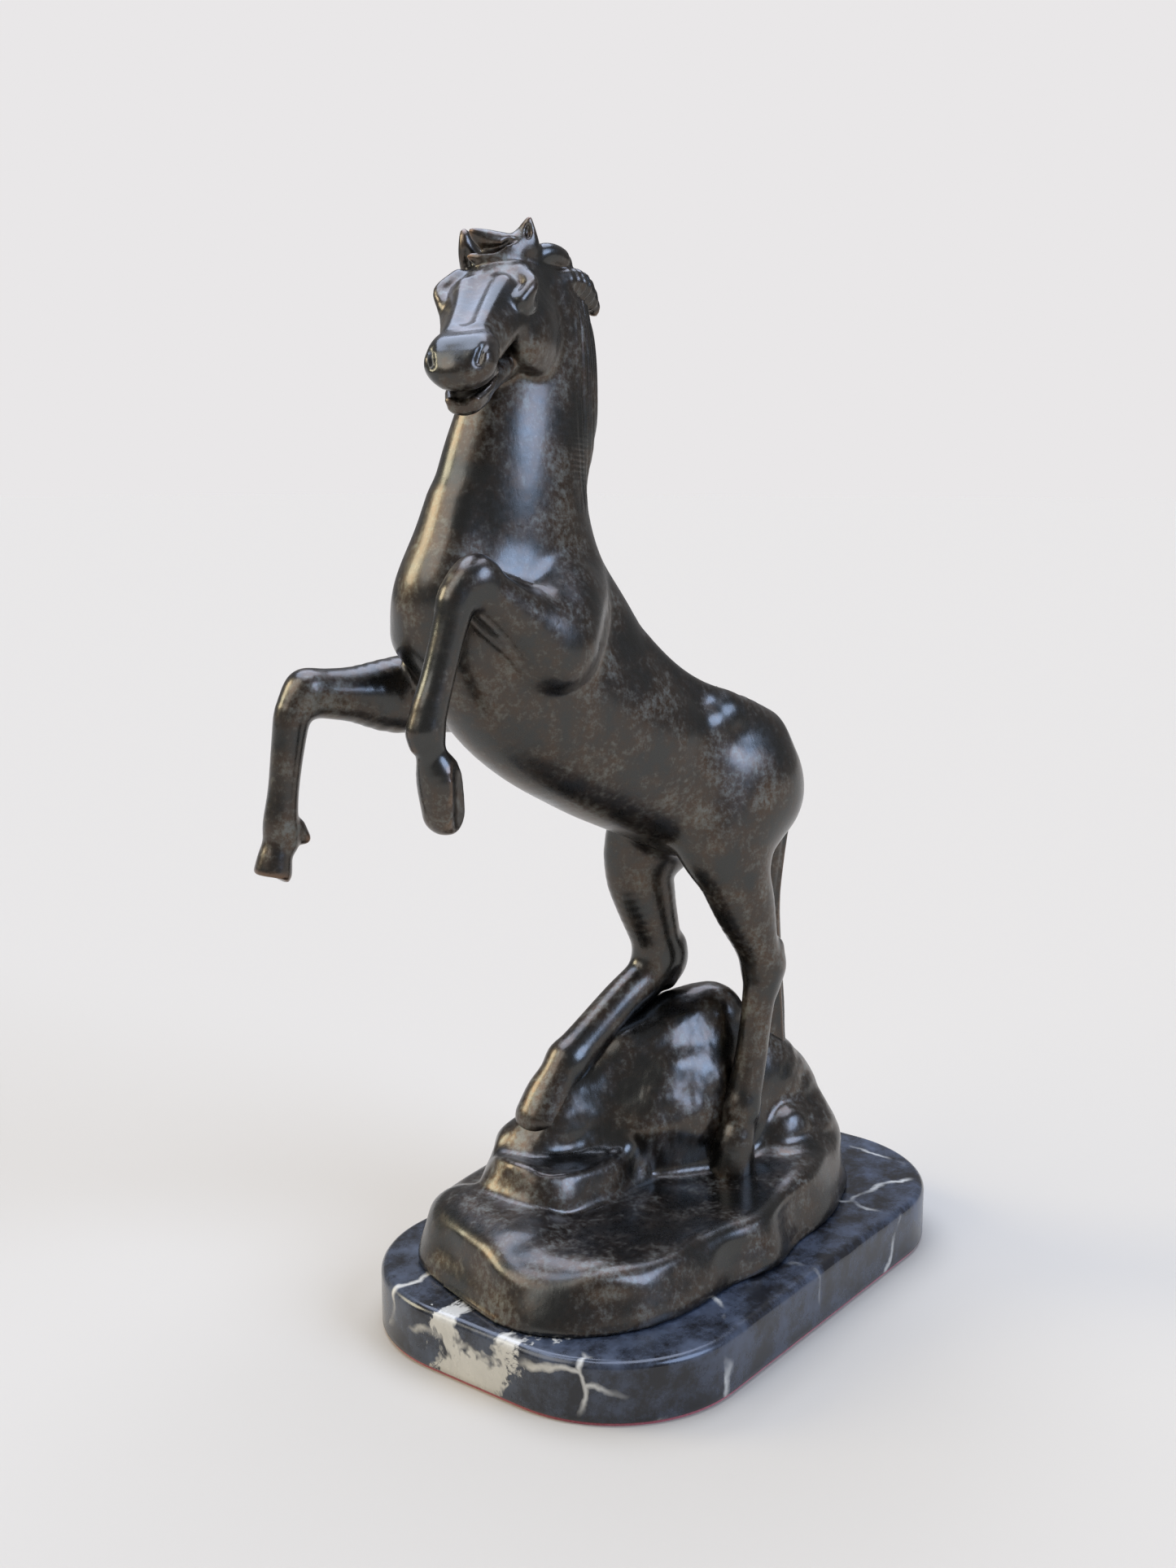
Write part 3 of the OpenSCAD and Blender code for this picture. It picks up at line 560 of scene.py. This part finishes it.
rock()

# ---- The horse in clay
# One clay horse was modelled, cut at the neck, the legs and the tail, and each part cast on its own.
# Every casting below is therefore the same clay, cut by the joint planes.
# Rows of [x, y, z, half depth, half width]
TRUNK = [(54, 0, 246, 24, 29), (38, 0, 249, 36, 35), (15, 0, 257, 40, 37), (-17, 0, 271, 40, 36),
         (-51, 0, 290, 43, 38), (-82, 0, 311, 44, 38), (-104, 0, 332, 40, 35), (-118, 0, 345, 31, 30)]
BREAST = [(-126, 0, 392, 7, 12), (-131, 0, 376, 10, 16), (-139, 0, 356, 12, 18), (-138, 4, 336, 13, 19)]
NECK = [(-96, 0, 340, 38, 31), (-98, 0, 370, 40, 29), (-94, 0, 402, 36, 25), (-87, 0, 430, 33, 21),
        (-82, 0, 458, 29, 18), (-83, -1, 478, 22, 16)]
WITHERS = [(-22, 0, 297, 17, 21), (-48, 0, 328, 23, 22), (-70, 0, 357, 24, 20), (-87, 0, 388, 21, 17)]


def model_body(clay):
    """Barrel, neck and withers, then the muscles that show on both flanks."""
    clay.press(TRUNK, 1, steps=8)
    clay.press(NECK, 14, steps=14)
    clay.press(WITHERS, 12, steps=8)
    clay.press(BREAST, 10, steps=8)
    for side in (-1, 1):
        muscles = [
            ([(-70, side * 14, 360, 11, 9), (-80, side * 23, 348, 18, 12), (-92, side * 30, 334, 20, 12)], 9),
            ([(34, side * 18, 256, 32, 19), (16, side * 22, 238, 30, 16)], 8),
            ([(8, side * 24, 288, 8, 6), (20, side * 20, 289, 12, 10), (44, side * 13, 276, 16, 14)], 7),
            ([(-30, side * 12, 325, 4, 5), (-10, side * 14, 308, 6.5, 7), (14, side * 15, 296, 7, 7)], 8),
        ]
        for rows, blend in muscles:
            clay.press(rows, blend)
        clay.cut([(-4, side * 42, 276, 9, 5), (-6, side * 44, 258, 11, 5), (-12, side * 42, 240, 8, 4)], 12)
    clay.cut([(-30, 0, 344, 2.5, 2.5), (-4, 0, 321, 3, 3), (24, 0, 305, 3, 3), (60, 0, 290, 4, 3)], 6)


# Each leg's chains with their fillets, from the shoulder or the hip down
FORE = {
    "left": [
        ([(-86, -26, 352, 14, 10), (-92, -32, 338, 18, 13), (-98, -36, 328, 13, 12)], 9),
        ([(-94, -36, 330, 14, 12), (-108, -36, 339, 14.5, 12), (-125, -36, 351, 11.5, 11),
          (-139, -36, 361, 10.5, 10)], 8),
        ([(-137, -36, 363, 9.5, 9.5), (-147, -36, 355, 9, 9), (-151, -36, 344, 7.5, 8.3),
          (-157, -36, 324, 6.8, 7.6),
          (-162, -36, 309, 7.6, 8), (-164, -36, 300, 7.8, 8)], 4),
        ([(-164, -36, 301, 7, 7.4), (-161, -36, 290, 6.6, 7.2), (-157, -36, 279, 10, 11),
          (-155, -36, 265, 9.5, 10.5)], 3),
        ([(-168, -36, 300, 3, 4), (-168, -36, 294, 2.4, 3.4)], 3),
    ],
    "right": [
        ([(-88, 24, 346, 14, 10), (-100, 29, 324, 19, 13), (-116, 32, 307, 17, 13)], 9),
        ([(-112, 32, 308, 18, 14), (-136, 32, 307, 17.5, 14), (-160, 32, 309, 12, 11.5),
          (-182, 32, 311, 10.5, 10)], 8),
        ([(-182, 32, 311, 9.5, 10), (-189, 32, 303, 8.5, 9), (-192, 32, 290, 7.5, 8.3),
          (-195, 32, 270, 6.8, 7.6),
          (-197, 32, 255, 7.8, 8), (-197, 32, 247, 8, 8)], 4),
        ([(-189, 32, 252, 4, 4), (-186, 32, 247, 3, 4)], 4),
        ([(-196, 32, 252, 6.6, 7), (-198, 32, 246, 6, 6.8), (-200, 32, 241, 7.2, 8.2),
          (-201.5, 32, 234, 8.2, 9.2)], 2),
    ],
}
HIND = {
    "left": [
        ([(30, -20, 250, 30, 18), (18, -25, 231, 26, 15), (20, -26, 212, 20, 14), (26, -26, 196, 17, 12.5),
          (34, -26, 176, 11.5, 10.5), (39, -26, 162, 10, 9.5)], 8),
        ([(47, -26, 170, 5, 5), (47, -26, 160, 5.5, 5.5), (44, -26, 150, 5, 5)], 6),
        ([(40, -26, 160, 9.5, 9), (37, -26, 142, 8.4, 8.2), (33, -26, 116, 8, 8), (29, -26, 97, 8.8, 8.8),
          (27, -26, 88, 9.6, 9.6)], 5),
        ([(27, -26, 90, 9, 9), (25, -26, 81, 8.6, 9.2), (22, -26, 71, 10.4, 11), (21, -26, 58, 11.6, 12)], 3),
    ],
    "right": [
        ([(30, 20, 246, 28, 18), (8, 24, 226, 26, 16), (2, 26, 208, 20, 15), (5, 26, 192, 17, 13.5),
          (11, 26, 174, 14, 12), (15, 26, 160, 13, 11)], 8),
        ([(24, 26, 164, 6, 7), (24, 26, 154, 7, 7), (19, 26, 146, 6, 7)], 6),
        ([(15, 26, 158, 12.5, 11), (5, 26, 148, 11.5, 10.5), (-10, 26, 139, 10.8, 10.4),
          (-31, 26, 124, 10.6, 10.6),
          (-44, 26, 114, 11.4, 11.4)], 6),
        ([(-44, 26, 114, 11, 11), (-51, 26, 106, 10.6, 11), (-56, 27, 98, 11.6, 12.4),
          (-61, 27, 88, 12.6, 13.6)], 3),
    ],
}


# The soles of the two raised hooves are cut flat
SOLES = [[(-144, -53, 282, 15, 15), (-144, -53, 262, 15, 15)],
         [(-209, 14, 214, 19, 19), (-209, 50, 214, 19, 19)]]


def model_leg(clay, chains):
    """A leg: upper arm or thigh, then the long bones, each pressed on the last."""
    for rows, blend in chains:
        clay.press(rows, blend)


# The head's own frame: along from the poll to the lips, sideways to the horse's right, and up from the nose
POLL = np.array([-94, -2, 488.0])
HEAD_TURN, HEAD_DIP, HEAD_ROLL = np.radians([41, 31, -3])


def head_frame():
    """The head's three directions as columns: turned left, dipped, then rolled."""
    ahead = -np.array([np.cos(HEAD_TURN) * np.cos(HEAD_DIP), np.sin(HEAD_TURN) * np.cos(HEAD_DIP),
                       np.sin(HEAD_DIP)])
    right = np.cross(ahead, [0, 0, 1.0])
    right /= np.linalg.norm(right)
    up = np.cross(right, ahead)
    rolled = right * np.cos(HEAD_ROLL) + up * np.sin(HEAD_ROLL)
    return np.stack([ahead, rolled, np.cross(rolled, ahead)], 1)


IN_HEAD = {"turn": (head_frame(), POLL)}


def model_head(clay):
    """Skull and nose, cheeks, brows, muzzle and lips pressed on; sockets, nostrils and mouth cut in; then the
    eyes, lids, ears and forelock."""
    press = lambda blend, *rows, **more: clay.press(list(rows), blend, **IN_HEAD, **more)
    cut = lambda blend, *rows: clay.cut(list(rows), blend, **IN_HEAD)
    press(9, (-2, 1, -1, 14, 13), (11, 3, 0, 15, 17), (25, 6, -0.5, 14, 20), (38, 6.5, 0, 12, 17),
          (54, 6, 0.8, 10.4, 13.5), (67, 5.4, 1.5, 9.6, 12.4), (78, 4.6, 1.6, 9.4, 12.6),
          (85, 4.6, 0.8, 7.4, 10.6))
    press(4, (22, 2, -22, 9, 11), (42, 3.5, -19.5, 6.5, 8.5), (60, 5, -17.6, 5, 7.6),
          (74, 5.6, -16, 4.6, 8.6),
          (82, 6, -15, 4.2, 7.6))
    # The head's middle plane lies a little to the right of the poll
    v = 5.5
    for side in (-1, 1):
        press(3, (2, side * 13 + v, -15, 17, 8), (14, side * 17 + v, -18, 19, 9),
              (27, side * 15 + v, -14, 14, 8))
        press(4, (26, side * 8 + v, 10, 3.6, 4), (44, side * 6 + v, 8.2, 3.4, 3.4),
              (62, side * 5.4 + v, 7.2, 3.2, 3.2))
        press(4, (14, side * 14 + v, 9, 4, 4), (24, side * 20 + v, 8.4, 3, 3),
              (33, side * 17 + v, 5.6, 2.6, 2.4))
        press(5, (33, side * 15 + v, -3, 3, 2.6), (46, side * 11 + v, -4, 2.6, 2.4),
              (58, side * 9.5 + v, -5, 2, 2))
        press(5, (71, side * 8.4 + v - 1, 4, 6, 5.5), (80, side * 9 + v - 1, 3, 6.6, 5.6))
        cut(3, (25, side * 23 + v, 2.5, 3, 2.4), (32, side * 21 + v, 1.5, 2.4, 2))
        press(0.8, (27, side * 18.2 + v, 3, 3.2, 3), (29, side * 18 + v, 2.6, 3.2, 3))
        press(1.4, (21, side * 19.2 + v, 5, 1.3, 1.2), (26, side * 20.8 + v, 6.2, 1.4, 1.3),
              (33, side * 18.6 + v, 3.4, 1.1, 1))
        press(1.4, (22, side * 19.6 + v, 2, 1, 1), (27, side * 20.4 + v, 0, 1.1, 1),
              (33, side * 18.2 + v, 0.8, 1, 1))
        cut(2.5, (79, side * 10.4 + v - 1, 8.8, 0.5, 0.5), (83, side * 10 + v - 1, 7.6, 0.9, 0.8),
            (86, side * 9.4 + v - 1, 5.6, 1, 1))
    cut(5, (28, 5.5, 16.4, 1.6, 2.4), (46, 5.4, 14.4, 1.4, 2), (60, 5, 13.4, 1.4, 2))
    # The bridge of the nose ends in a step, where the soft muzzle swells
    press(3, (75, -1, 5, 6, 6), (76, 5, 5.6, 6, 6), (75, 11, 5, 6, 6))
    cut(3, (66, -4, 14.5, 1.6, 2), (65.5, 5, 15, 1.6, 3), (66, 14, 14.5, 1.6, 2))
    # The open mouth: a wedge from its corners out past the lips, then the rolled edges of both lips
    cut(1.2, (66, 5, -10.6, 0.9, 14), (73, 5, -10, 1.9, 16), (80, 5.4, -8.6, 2.8, 20), (98, 6, -7.6, 4, 24))
    press(1.5, (74, -7, -4.6, 1.8, 2), (83, -2, -5, 1.8, 3), (85.5, 5, -5, 1.8, 4), (83, 12, -4.6, 1.8, 3),
          (74, 16, -4, 1.8, 2))
    for side in (-1, 1):
        press(1.4, (58, side * 6.6 + 5, -14, 1.6, 1.9), (72, side * 8.4 + 5.6, -12.8, 1.8, 2),
              (83, side * 5 + 6, -12, 1.8, 2.8))
    # Ears: the left pricked and broad, the right a slab turned edge on, each with its cup cut in front
    press(3, (-3, -6, 10, 6, 7), (-4, -7, 15, 5, 6.2), (-6, -8.6, 20, 3.4, 3.6), (-8, -9.9, 24.3, 1, 1.2))
    cut(1.2, (1, -9, 13, 1.8, 2.4), (-1, -9, 17, 2, 2), (-5, -9.6, 21.5, 1, 1))
    press(2.5, (0, 16, 7, 7, 6), (-1, 17.6, 13, 6, 4.4), (-2.5, 18.2, 18, 4.6, 3), (-3.5, 18.7, 21.6, 2, 1.8))
    cut(1, (5, 17, 11, 1.4, 1.6), (4, 17.6, 16, 1.4, 1.2))
    # The forelock, one heavy lock blown across the brow to a horn-like tip, with strands combed below it
    press(4, (-2, -5, 13, 6, 6), (2, -1, 16, 6, 6), (4.5, 5, 20, 5, 5.6), (6, 9.5, 24, 3, 3.4),
          (6.4, 12, 26.6, 1.2, 1.4))
    press(2, (4, -4, 13, 4, 4), (9, 2, 14, 3.6, 4), (11, 8, 15.5, 3, 3.4), (11, 13, 17, 1.6, 2))
    cut(1.2, (3, -5, 20, 1, 1), (8, 2, 19, 1.2, 1.2), (10.5, 9, 20, 1.2, 1.2))
    # Two locks of the mane blown back behind the left ear
    press(1.6, (-4, -9, 6.7, 6, 5), (-10, -14, 6.7, 5, 5), (-16, -18, 1.7, 4.6, 4.4),
          (-18, -20, -4.3, 2, 2.4))
    press(1.6, (-3, -14, -6, 6, 5), (-12, -19.6, -7, 5.6, 5.6), (-20, -23.6, -13, 5.6, 5.6),
          (-25, -26, -23, 4, 4),
          (-26.6, -27, -30, 1.6, 2))
    cut(1, (-4, -20, -1, 1, 1), (-13, -26, -4, 1.2, 1.2), (-22, -30, -13, 1.2, 1.2), (-26, -31, -24, 1, 1))


MANE = [
    ([(-76, -9, 476, 8, 6), (-70, -9, 462, 9, 6), (-66, -8, 440, 9, 6), (-64, -7, 418, 8, 6),
      (-66, -6, 400, 5, 4)], 4),
    ([(-62, 0, 478, 8, 7), (-58, 0, 462, 8, 7), (-56, 0, 444, 7.5, 7), (-56, 0, 424, 6.5, 6),
      (-62, 0, 404, 4, 4)], 5),
]


def model_mane(clay):
    """The mane lies as a sheet over the crest, thin where the withers begin."""
    for rows, blend in MANE:
        clay.press(rows, blend)


TAIL = [(62, 0, 268, 8, 8), (72, 0, 258, 9, 8), (74, 1, 240, 8, 8), (70, 2, 215, 8, 8),
        (67, 3, 185, 8.5, 8.5),
        (68, 3, 155, 9, 9), (71, 4, 128, 9.5, 9.5), (72, 4, 106, 10, 10), (74, 4, 88, 13, 13)]


def model_horse(clay):
    """The whole horse. Each call skips what lies outside its block of clay."""
    model_body(clay)
    for chains in (FORE["left"], FORE["right"], HIND["left"], HIND["right"]):
        model_leg(clay, chains)
    for sole in SOLES:
        clay.cut(sole, 1.0)
    model_mane(clay)
    model_head(clay)
    clay.press(TAIL, 8)


def past_plane(clay, point, way):
    """Distance short of the plane through point, square to way: below zero past it."""
    x, y, z = clay.all()
    return (-((x - point[0]) * way[0] + (y - point[1]) * way[1] + (z - point[2]) * way[2])).astype(np.float32)


def near_chain(clay, rows, room):
    """Distance to a limb's chain, less room: a loose bag round the limb."""
    bag = np.full(clay.depth.shape, 1000.0, np.float32)
    slices, far = clay.limb(rows, margin=room + 4)
    if slices is not None:
        bag[slices] = far - room
    return bag


NECK_JOINT = 384.4
LAP = 3.0


def joint_of(chains, row):
    """A leg's joint: a point and the way down the limb, at the given row of its upper chain."""
    upper = np.array([r for rows, _ in chains for r in rows][: row + 2])
    way = upper[row + 1, :3] - upper[row, :3]
    return upper[row, :3], way / np.linalg.norm(way)


CASTING_JOINTS = {
    "left_foreleg": (FORE["left"], joint_of(FORE["left"], 4), (-190, -62, 240), (-88, -10, 392)),
    "right_foreleg": (FORE["right"], joint_of(FORE["right"], 4), (-222, 6, 215), (-100, 62, 340)),
    "left_hind_leg": (HIND["left"], joint_of(HIND["left"], 2), (-16, -52, 54), (66, -4, 232)),
    "right_hind_leg": (HIND["right"], joint_of(HIND["right"], 2), (-90, 4, 76), (44, 52, 232)),
}


def leg_bag(clay, name):
    """The room that one leg's casting takes up: past its joint plane and close to its own chains."""
    chains, (point, way), _, _ = CASTING_JOINTS[name]
    first = 1 if "fore" in name else 0
    bag = near_chain(clay, [r for rows, _ in chains[first:] for r in rows], 6)
    return np.maximum(bag, past_plane(clay, point, way))


def hand_finish(points, outward):
    """The slight unevenness of a hand-filed wax: soft swellings 0.4 mm high, and lumps of a hundredth."""
    return 0.4 * lumps(points, 27, 21) + 0.01 * lumps(points, 5, 22)


# ---- Trunk
# The largest casting, hollow inside a 4 mm wall, with round sockets for the legs' and the tail's tenons.


def trunk():
    """The horse's clay below the neck's joint, with the legs and the tail cut away."""
    clay = Clay((-166, -62, 180), (104, 62, 394))
    model_horse(clay)
    for name in CASTING_JOINTS:
        clay.trim(-leg_bag(clay, name) - LAP)
    clay.trim((clay.all()[2] - NECK_JOINT - LAP).astype(np.float32))
    clay.trim(-tail_bag(clay) - LAP)
    return cast("trunk", clay, BRONZE, "trunk_casting", relief=hand_finish)


def tail_bag(clay):
    """The room that the tail's casting takes up, below its root."""
    bag = near_chain(clay, TAIL, 5)
    return np.maximum(bag, past_plane(clay, np.array([77, 0, 258]), np.array([0.6, 0, -0.8])))


trunk()

# ---- Head and neck
# One casting from the neck's joint up, set over a sleeve and held by three cross pins. The mane, the
# ears and the eyes were modelled in the wax and cast with it.
HEAD_CELL = 0.85


def neck_and_face(points, outward):
    """The hand finish, with combed locks in the mane and fine strokes across the neck's near side."""
    x, y, z = points.T
    mane = np.clip((x + 72 + 0.1 * np.abs(y)) / 8, 0, 1) * np.clip((z - 388) / 8, 0, 1)
    comb = np.sin(1.15 * x + 0.8 * y + 2.4 * np.sin(z / 17) + 1.5 * lumps(points, 14, 31))
    scratch = np.clip(1 - np.abs(x + 72) / 14, 0, 1) * np.clip(1 - np.abs(z - 412) / 16, 0, 1) * (y < -8)
    smooth = 1 - 0.3 * np.clip((z - 400) / 15, 0, 1)
    strokes = 0.42 * mane * comb + 0.14 * scratch * np.sin(z * 2.6 + 0.2 * x)
    return hand_finish(points, outward) * smooth + strokes


def head_and_neck():
    """The horse's clay above the neck's joint."""
    clay = Clay((-176, -72, NECK_JOINT - 6), (-28, 42, 524), HEAD_CELL)
    model_horse(clay)
    clay.trim((NECK_JOINT - LAP - clay.all()[2]).astype(np.float32))
    return cast("head_and_neck", clay, BRONZE, "head_and_neck_casting", relief=neck_and_face, rub=0.5)


head_and_neck()

# ---- Legs
# Each leg is a solid casting with a round tenon, driven into its socket and pinned across. The left
# hind hoof and the right hind fetlock stand on the rock, with studs up into them.
LEG_CELL = 0.9


def leg(name):
    """One leg: the clay past its joint plane, lapped a little into the trunk's so that no gap shows."""
    _, _, low, high = CASTING_JOINTS[name]
    clay = Clay(low, high, LEG_CELL)
    model_horse(clay)
    clay.trim(leg_bag(clay, name) - LAP)
    return cast(name + "_cast", clay, BRONZE, name, relief=hand_finish)


for name in CASTING_JOINTS:
    leg(name)

# ---- Tail
# A solid casting pinned into the rump. It hangs behind the left hind leg and runs down into the
# crag, where a dowel holds it, so that it props the rearing horse.


def tail():
    """The tail's clay below its root, combed into long strands."""
    clay = Clay((48, -22, 70), (104, 30, 272), LEG_CELL)
    model_horse(clay)
    clay.trim(tail_bag(clay) - LAP)
    return cast("tail", clay, BRONZE, "tail_casting",
                relief=lambda points, outward: 0.5 * np.sin(1.1 * points[:, 1] + 0.7 * points[:, 0]
                                                            + 2 * np.sin(points[:, 2] / 21)))


tail()

# ---- Pins, plugs and fixings
# Bronze pins and plugs, chased flush so that the patina hides them, and zinc-plated studs, washers
# and nuts under the rock and the marble.


def bronze_rod():
    """Drawn bronze rod, cut and filed: bright, with fine scratches round it."""
    finish, tree, shader = new_finish("bronze_rod", Metallic=1.0)
    place = add_node(tree, "TexCoord").outputs["Object"]
    filed = add_node(tree, "TexNoise", {"Vector": place, "Scale": lump_scale(0.8), "Detail": 3.0})
    tone = add_node(tree, "Mix", {0: filed.outputs[0], 6: linear("#6F5133"), 7: linear("#A98457")},
                    data_type="RGBA")
    rough = add_node(tree, "MapRange", {0: filed.outputs[0], 3: 0.25, 4: 0.45})
    tree.links.new(tone.outputs[2], shader.inputs["Base Color"])
    tree.links.new(rough.outputs[0], shader.inputs["Roughness"])
    return finish


def zinc_plate():
    """Zinc-plated steel: pale grey metal with a faint spangle."""
    finish, tree, shader = new_finish("zinc_plate", Metallic=1.0)
    place = add_node(tree, "TexCoord").outputs["Object"]
    spangle = add_node(tree, "TexNoise", {"Vector": place, "Scale": lump_scale(1.2), "Detail": 2.0})
    tone = add_node(tree, "Mix", {0: spangle.outputs[0], 6: linear("#8F9396"), 7: linear("#C9CCCE")},
                    data_type="RGBA")
    rough = add_node(tree, "MapRange", {0: spangle.outputs[0], 3: 0.28, 4: 0.42})
    tree.links.new(tone.outputs[2], shader.inputs["Base Color"])
    tree.links.new(rough.outputs[0], shader.inputs["Roughness"])
    return finish


ROD = bronze_rod()
for finish, names in (
    (BRONZE, ("leg_pins", "tail_pin")),
    (ROD, ("tail_dowel",)),
    (zinc_plate(), ("base_studs", "base_washers", "base_nuts", "hoof_studs", "hoof_washers", "hoof_nuts")),
):
    for name in names:
        give_finish(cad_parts[name], finish)


def short_rods(name, ends, radius, finish, *stands_for):
    """Round rods between pairs of ends, in horse millimetres: closed tubes of 24 sides with filed corners."""
    points, faces = [], []
    for low, high in np.array(ends, float):
        way = (high - low) / np.linalg.norm(high - low)
        side = np.cross(way, [0, 0, 1.0])
        side /= np.linalg.norm(side)
        turns = np.linspace(0, 2 * np.pi, 24, endpoint=False)
        circle = np.outer(np.cos(turns), side) + np.outer(np.sin(turns), np.cross(way, side))
        rings = [low + circle * (radius - 0.2), low + way * 0.2 + circle * radius]
        rings += [high - way * 0.2 + circle * radius, high + circle * (radius - 0.2)]
        more, quads = closed_rings(rings)
        faces += [[i + len(points) for i in face] for face in quads]
        points += on_plinth(np.asarray(more)).tolist()
    return new_piece(name, np.array(points), faces, finish, "pin_bronze", *stands_for)


# The three neck pins end just under the skin, where the chaser peened the bronze over them
PIN_Z = NECK_JOINT - 5
short_rods("neck_pins_cut", [[(-98, 22, PIN_Z), (-98, 27, PIN_Z)], [(-98, -22, PIN_Z), (-98, -27, PIN_Z)],
                             [(-129, 0, PIN_Z), (-134, 0, PIN_Z)]], 1.5, ROD, "neck_pins")

# The four plugs stop the core holes in the trunk's wall, and are filed off just under the skin
short_rods("core_plugs_cut", [[(15.6, -12.6, 297.7), (18.5, -14.7, 302.6)],
                              [(-19.1, 12.3, 237.8), (-21.9, 14.3, 232.9)],
                              [(-46.6, 15.0, 340.5), (-43.8, 17.1, 345.4)],
                              [(-86.3, -13.7, 272.0), (-89.1, -15.8, 267.1)]],
           2.5, BRONZE, "core_plugs")

# ---- Studio
# A wide pale floor under an even sky, lit by a broad soft sun from the left. A cool window, a small
# warm one and a high softbox, all far away so that the floor is lit evenly, give the bronze its reflections.


def studio_floor():
    """A flat pale sheet, 80 m across."""
    half = 40.0
    mesh = bpy.data.meshes.new("floor")
    mesh.from_pydata([(-half, -half, 0), (half, -half, 0), (half, half, 0), (-half, half, 0)], [],
                     [(0, 1, 2, 3)])
    finish, _, shader = new_finish("pale_paper", Roughness=0.95, Specular_IOR_Level=0.0)
    shader.inputs["Base Color"].default_value = linear("#BDB4A5")
    mesh.materials.append(finish)
    floor = bpy.data.objects.new("floor", mesh)
    bpy.context.scene.collection.objects.link(floor)


def soft_sun(name, bearing, rise, width, brightness, tint):
    """A round patch of light far away, width degrees across, on a bearing from +X and a rise above level.

    Its strength is its brightness times its solid angle, 2 pi (1 - cos half its width)."""
    light = bpy.data.lights.new(name, "SUN")
    light.color = linear(tint)[:3]
    light.angle = np.radians(width)
    light.energy = brightness * 2 * np.pi * (1 - np.cos(light.angle / 2))
    holder = bpy.data.objects.new(name, light)
    holder.rotation_euler = np.radians([90 - rise, 0, bearing + 90])
    bpy.context.scene.collection.objects.link(holder)


def sky(brightness, seen):
    """An even grey sky: brightness lights the statue and is mirrored in it, and seen is its own tone."""
    world = bpy.data.worlds.new("sky")
    world.use_nodes = True
    tree = world.node_tree
    back = tree.nodes["Background"]
    looking = add_node(tree, "LightPath").outputs["Is Camera Ray"]
    level = add_node(tree, "MapRange", {0: looking, 3: brightness, 4: seen})
    back.inputs["Color"].default_value = linear("#E9E7E8")
    tree.links.new(level.outputs[0], back.inputs["Strength"])
    bpy.context.scene.world = world


studio_floor()
sky(0.3, 1.0)
soft_sun("soft_sun", 157, 42, 40, 2.6, "#FFFDF8")
soft_sun("cool_window", 278, 32, 36, 8.0, "#BCD4FF")
soft_sun("warm_window", 118, 26, 24, 9.0, "#FFF4D2")
soft_sun("high_softbox", 50, 74, 60, 4.6, "#D2E0FF")
bpy.context.scene.view_settings.view_transform = "Standard"

# The camera stands before the horse's left shoulder, a little above its back, and looks slightly down
FILM_WIDTH, FOCAL_LENGTH = 36, 38.3
EYE = (-0.668, -0.4626, 0.4027)
EYE_DIP, EYE_TURN = 10.3, -52.4
lens = bpy.data.cameras.new("camera")
lens.sensor_width, lens.lens = FILM_WIDTH, FOCAL_LENGTH
camera = bpy.data.objects.new("camera", lens)
camera.location = EYE
camera.rotation_euler = (np.radians(90 - EYE_DIP), 0, np.radians(EYE_TURN))
bpy.context.scene.collection.objects.link(camera)
bpy.context.scene.camera = camera
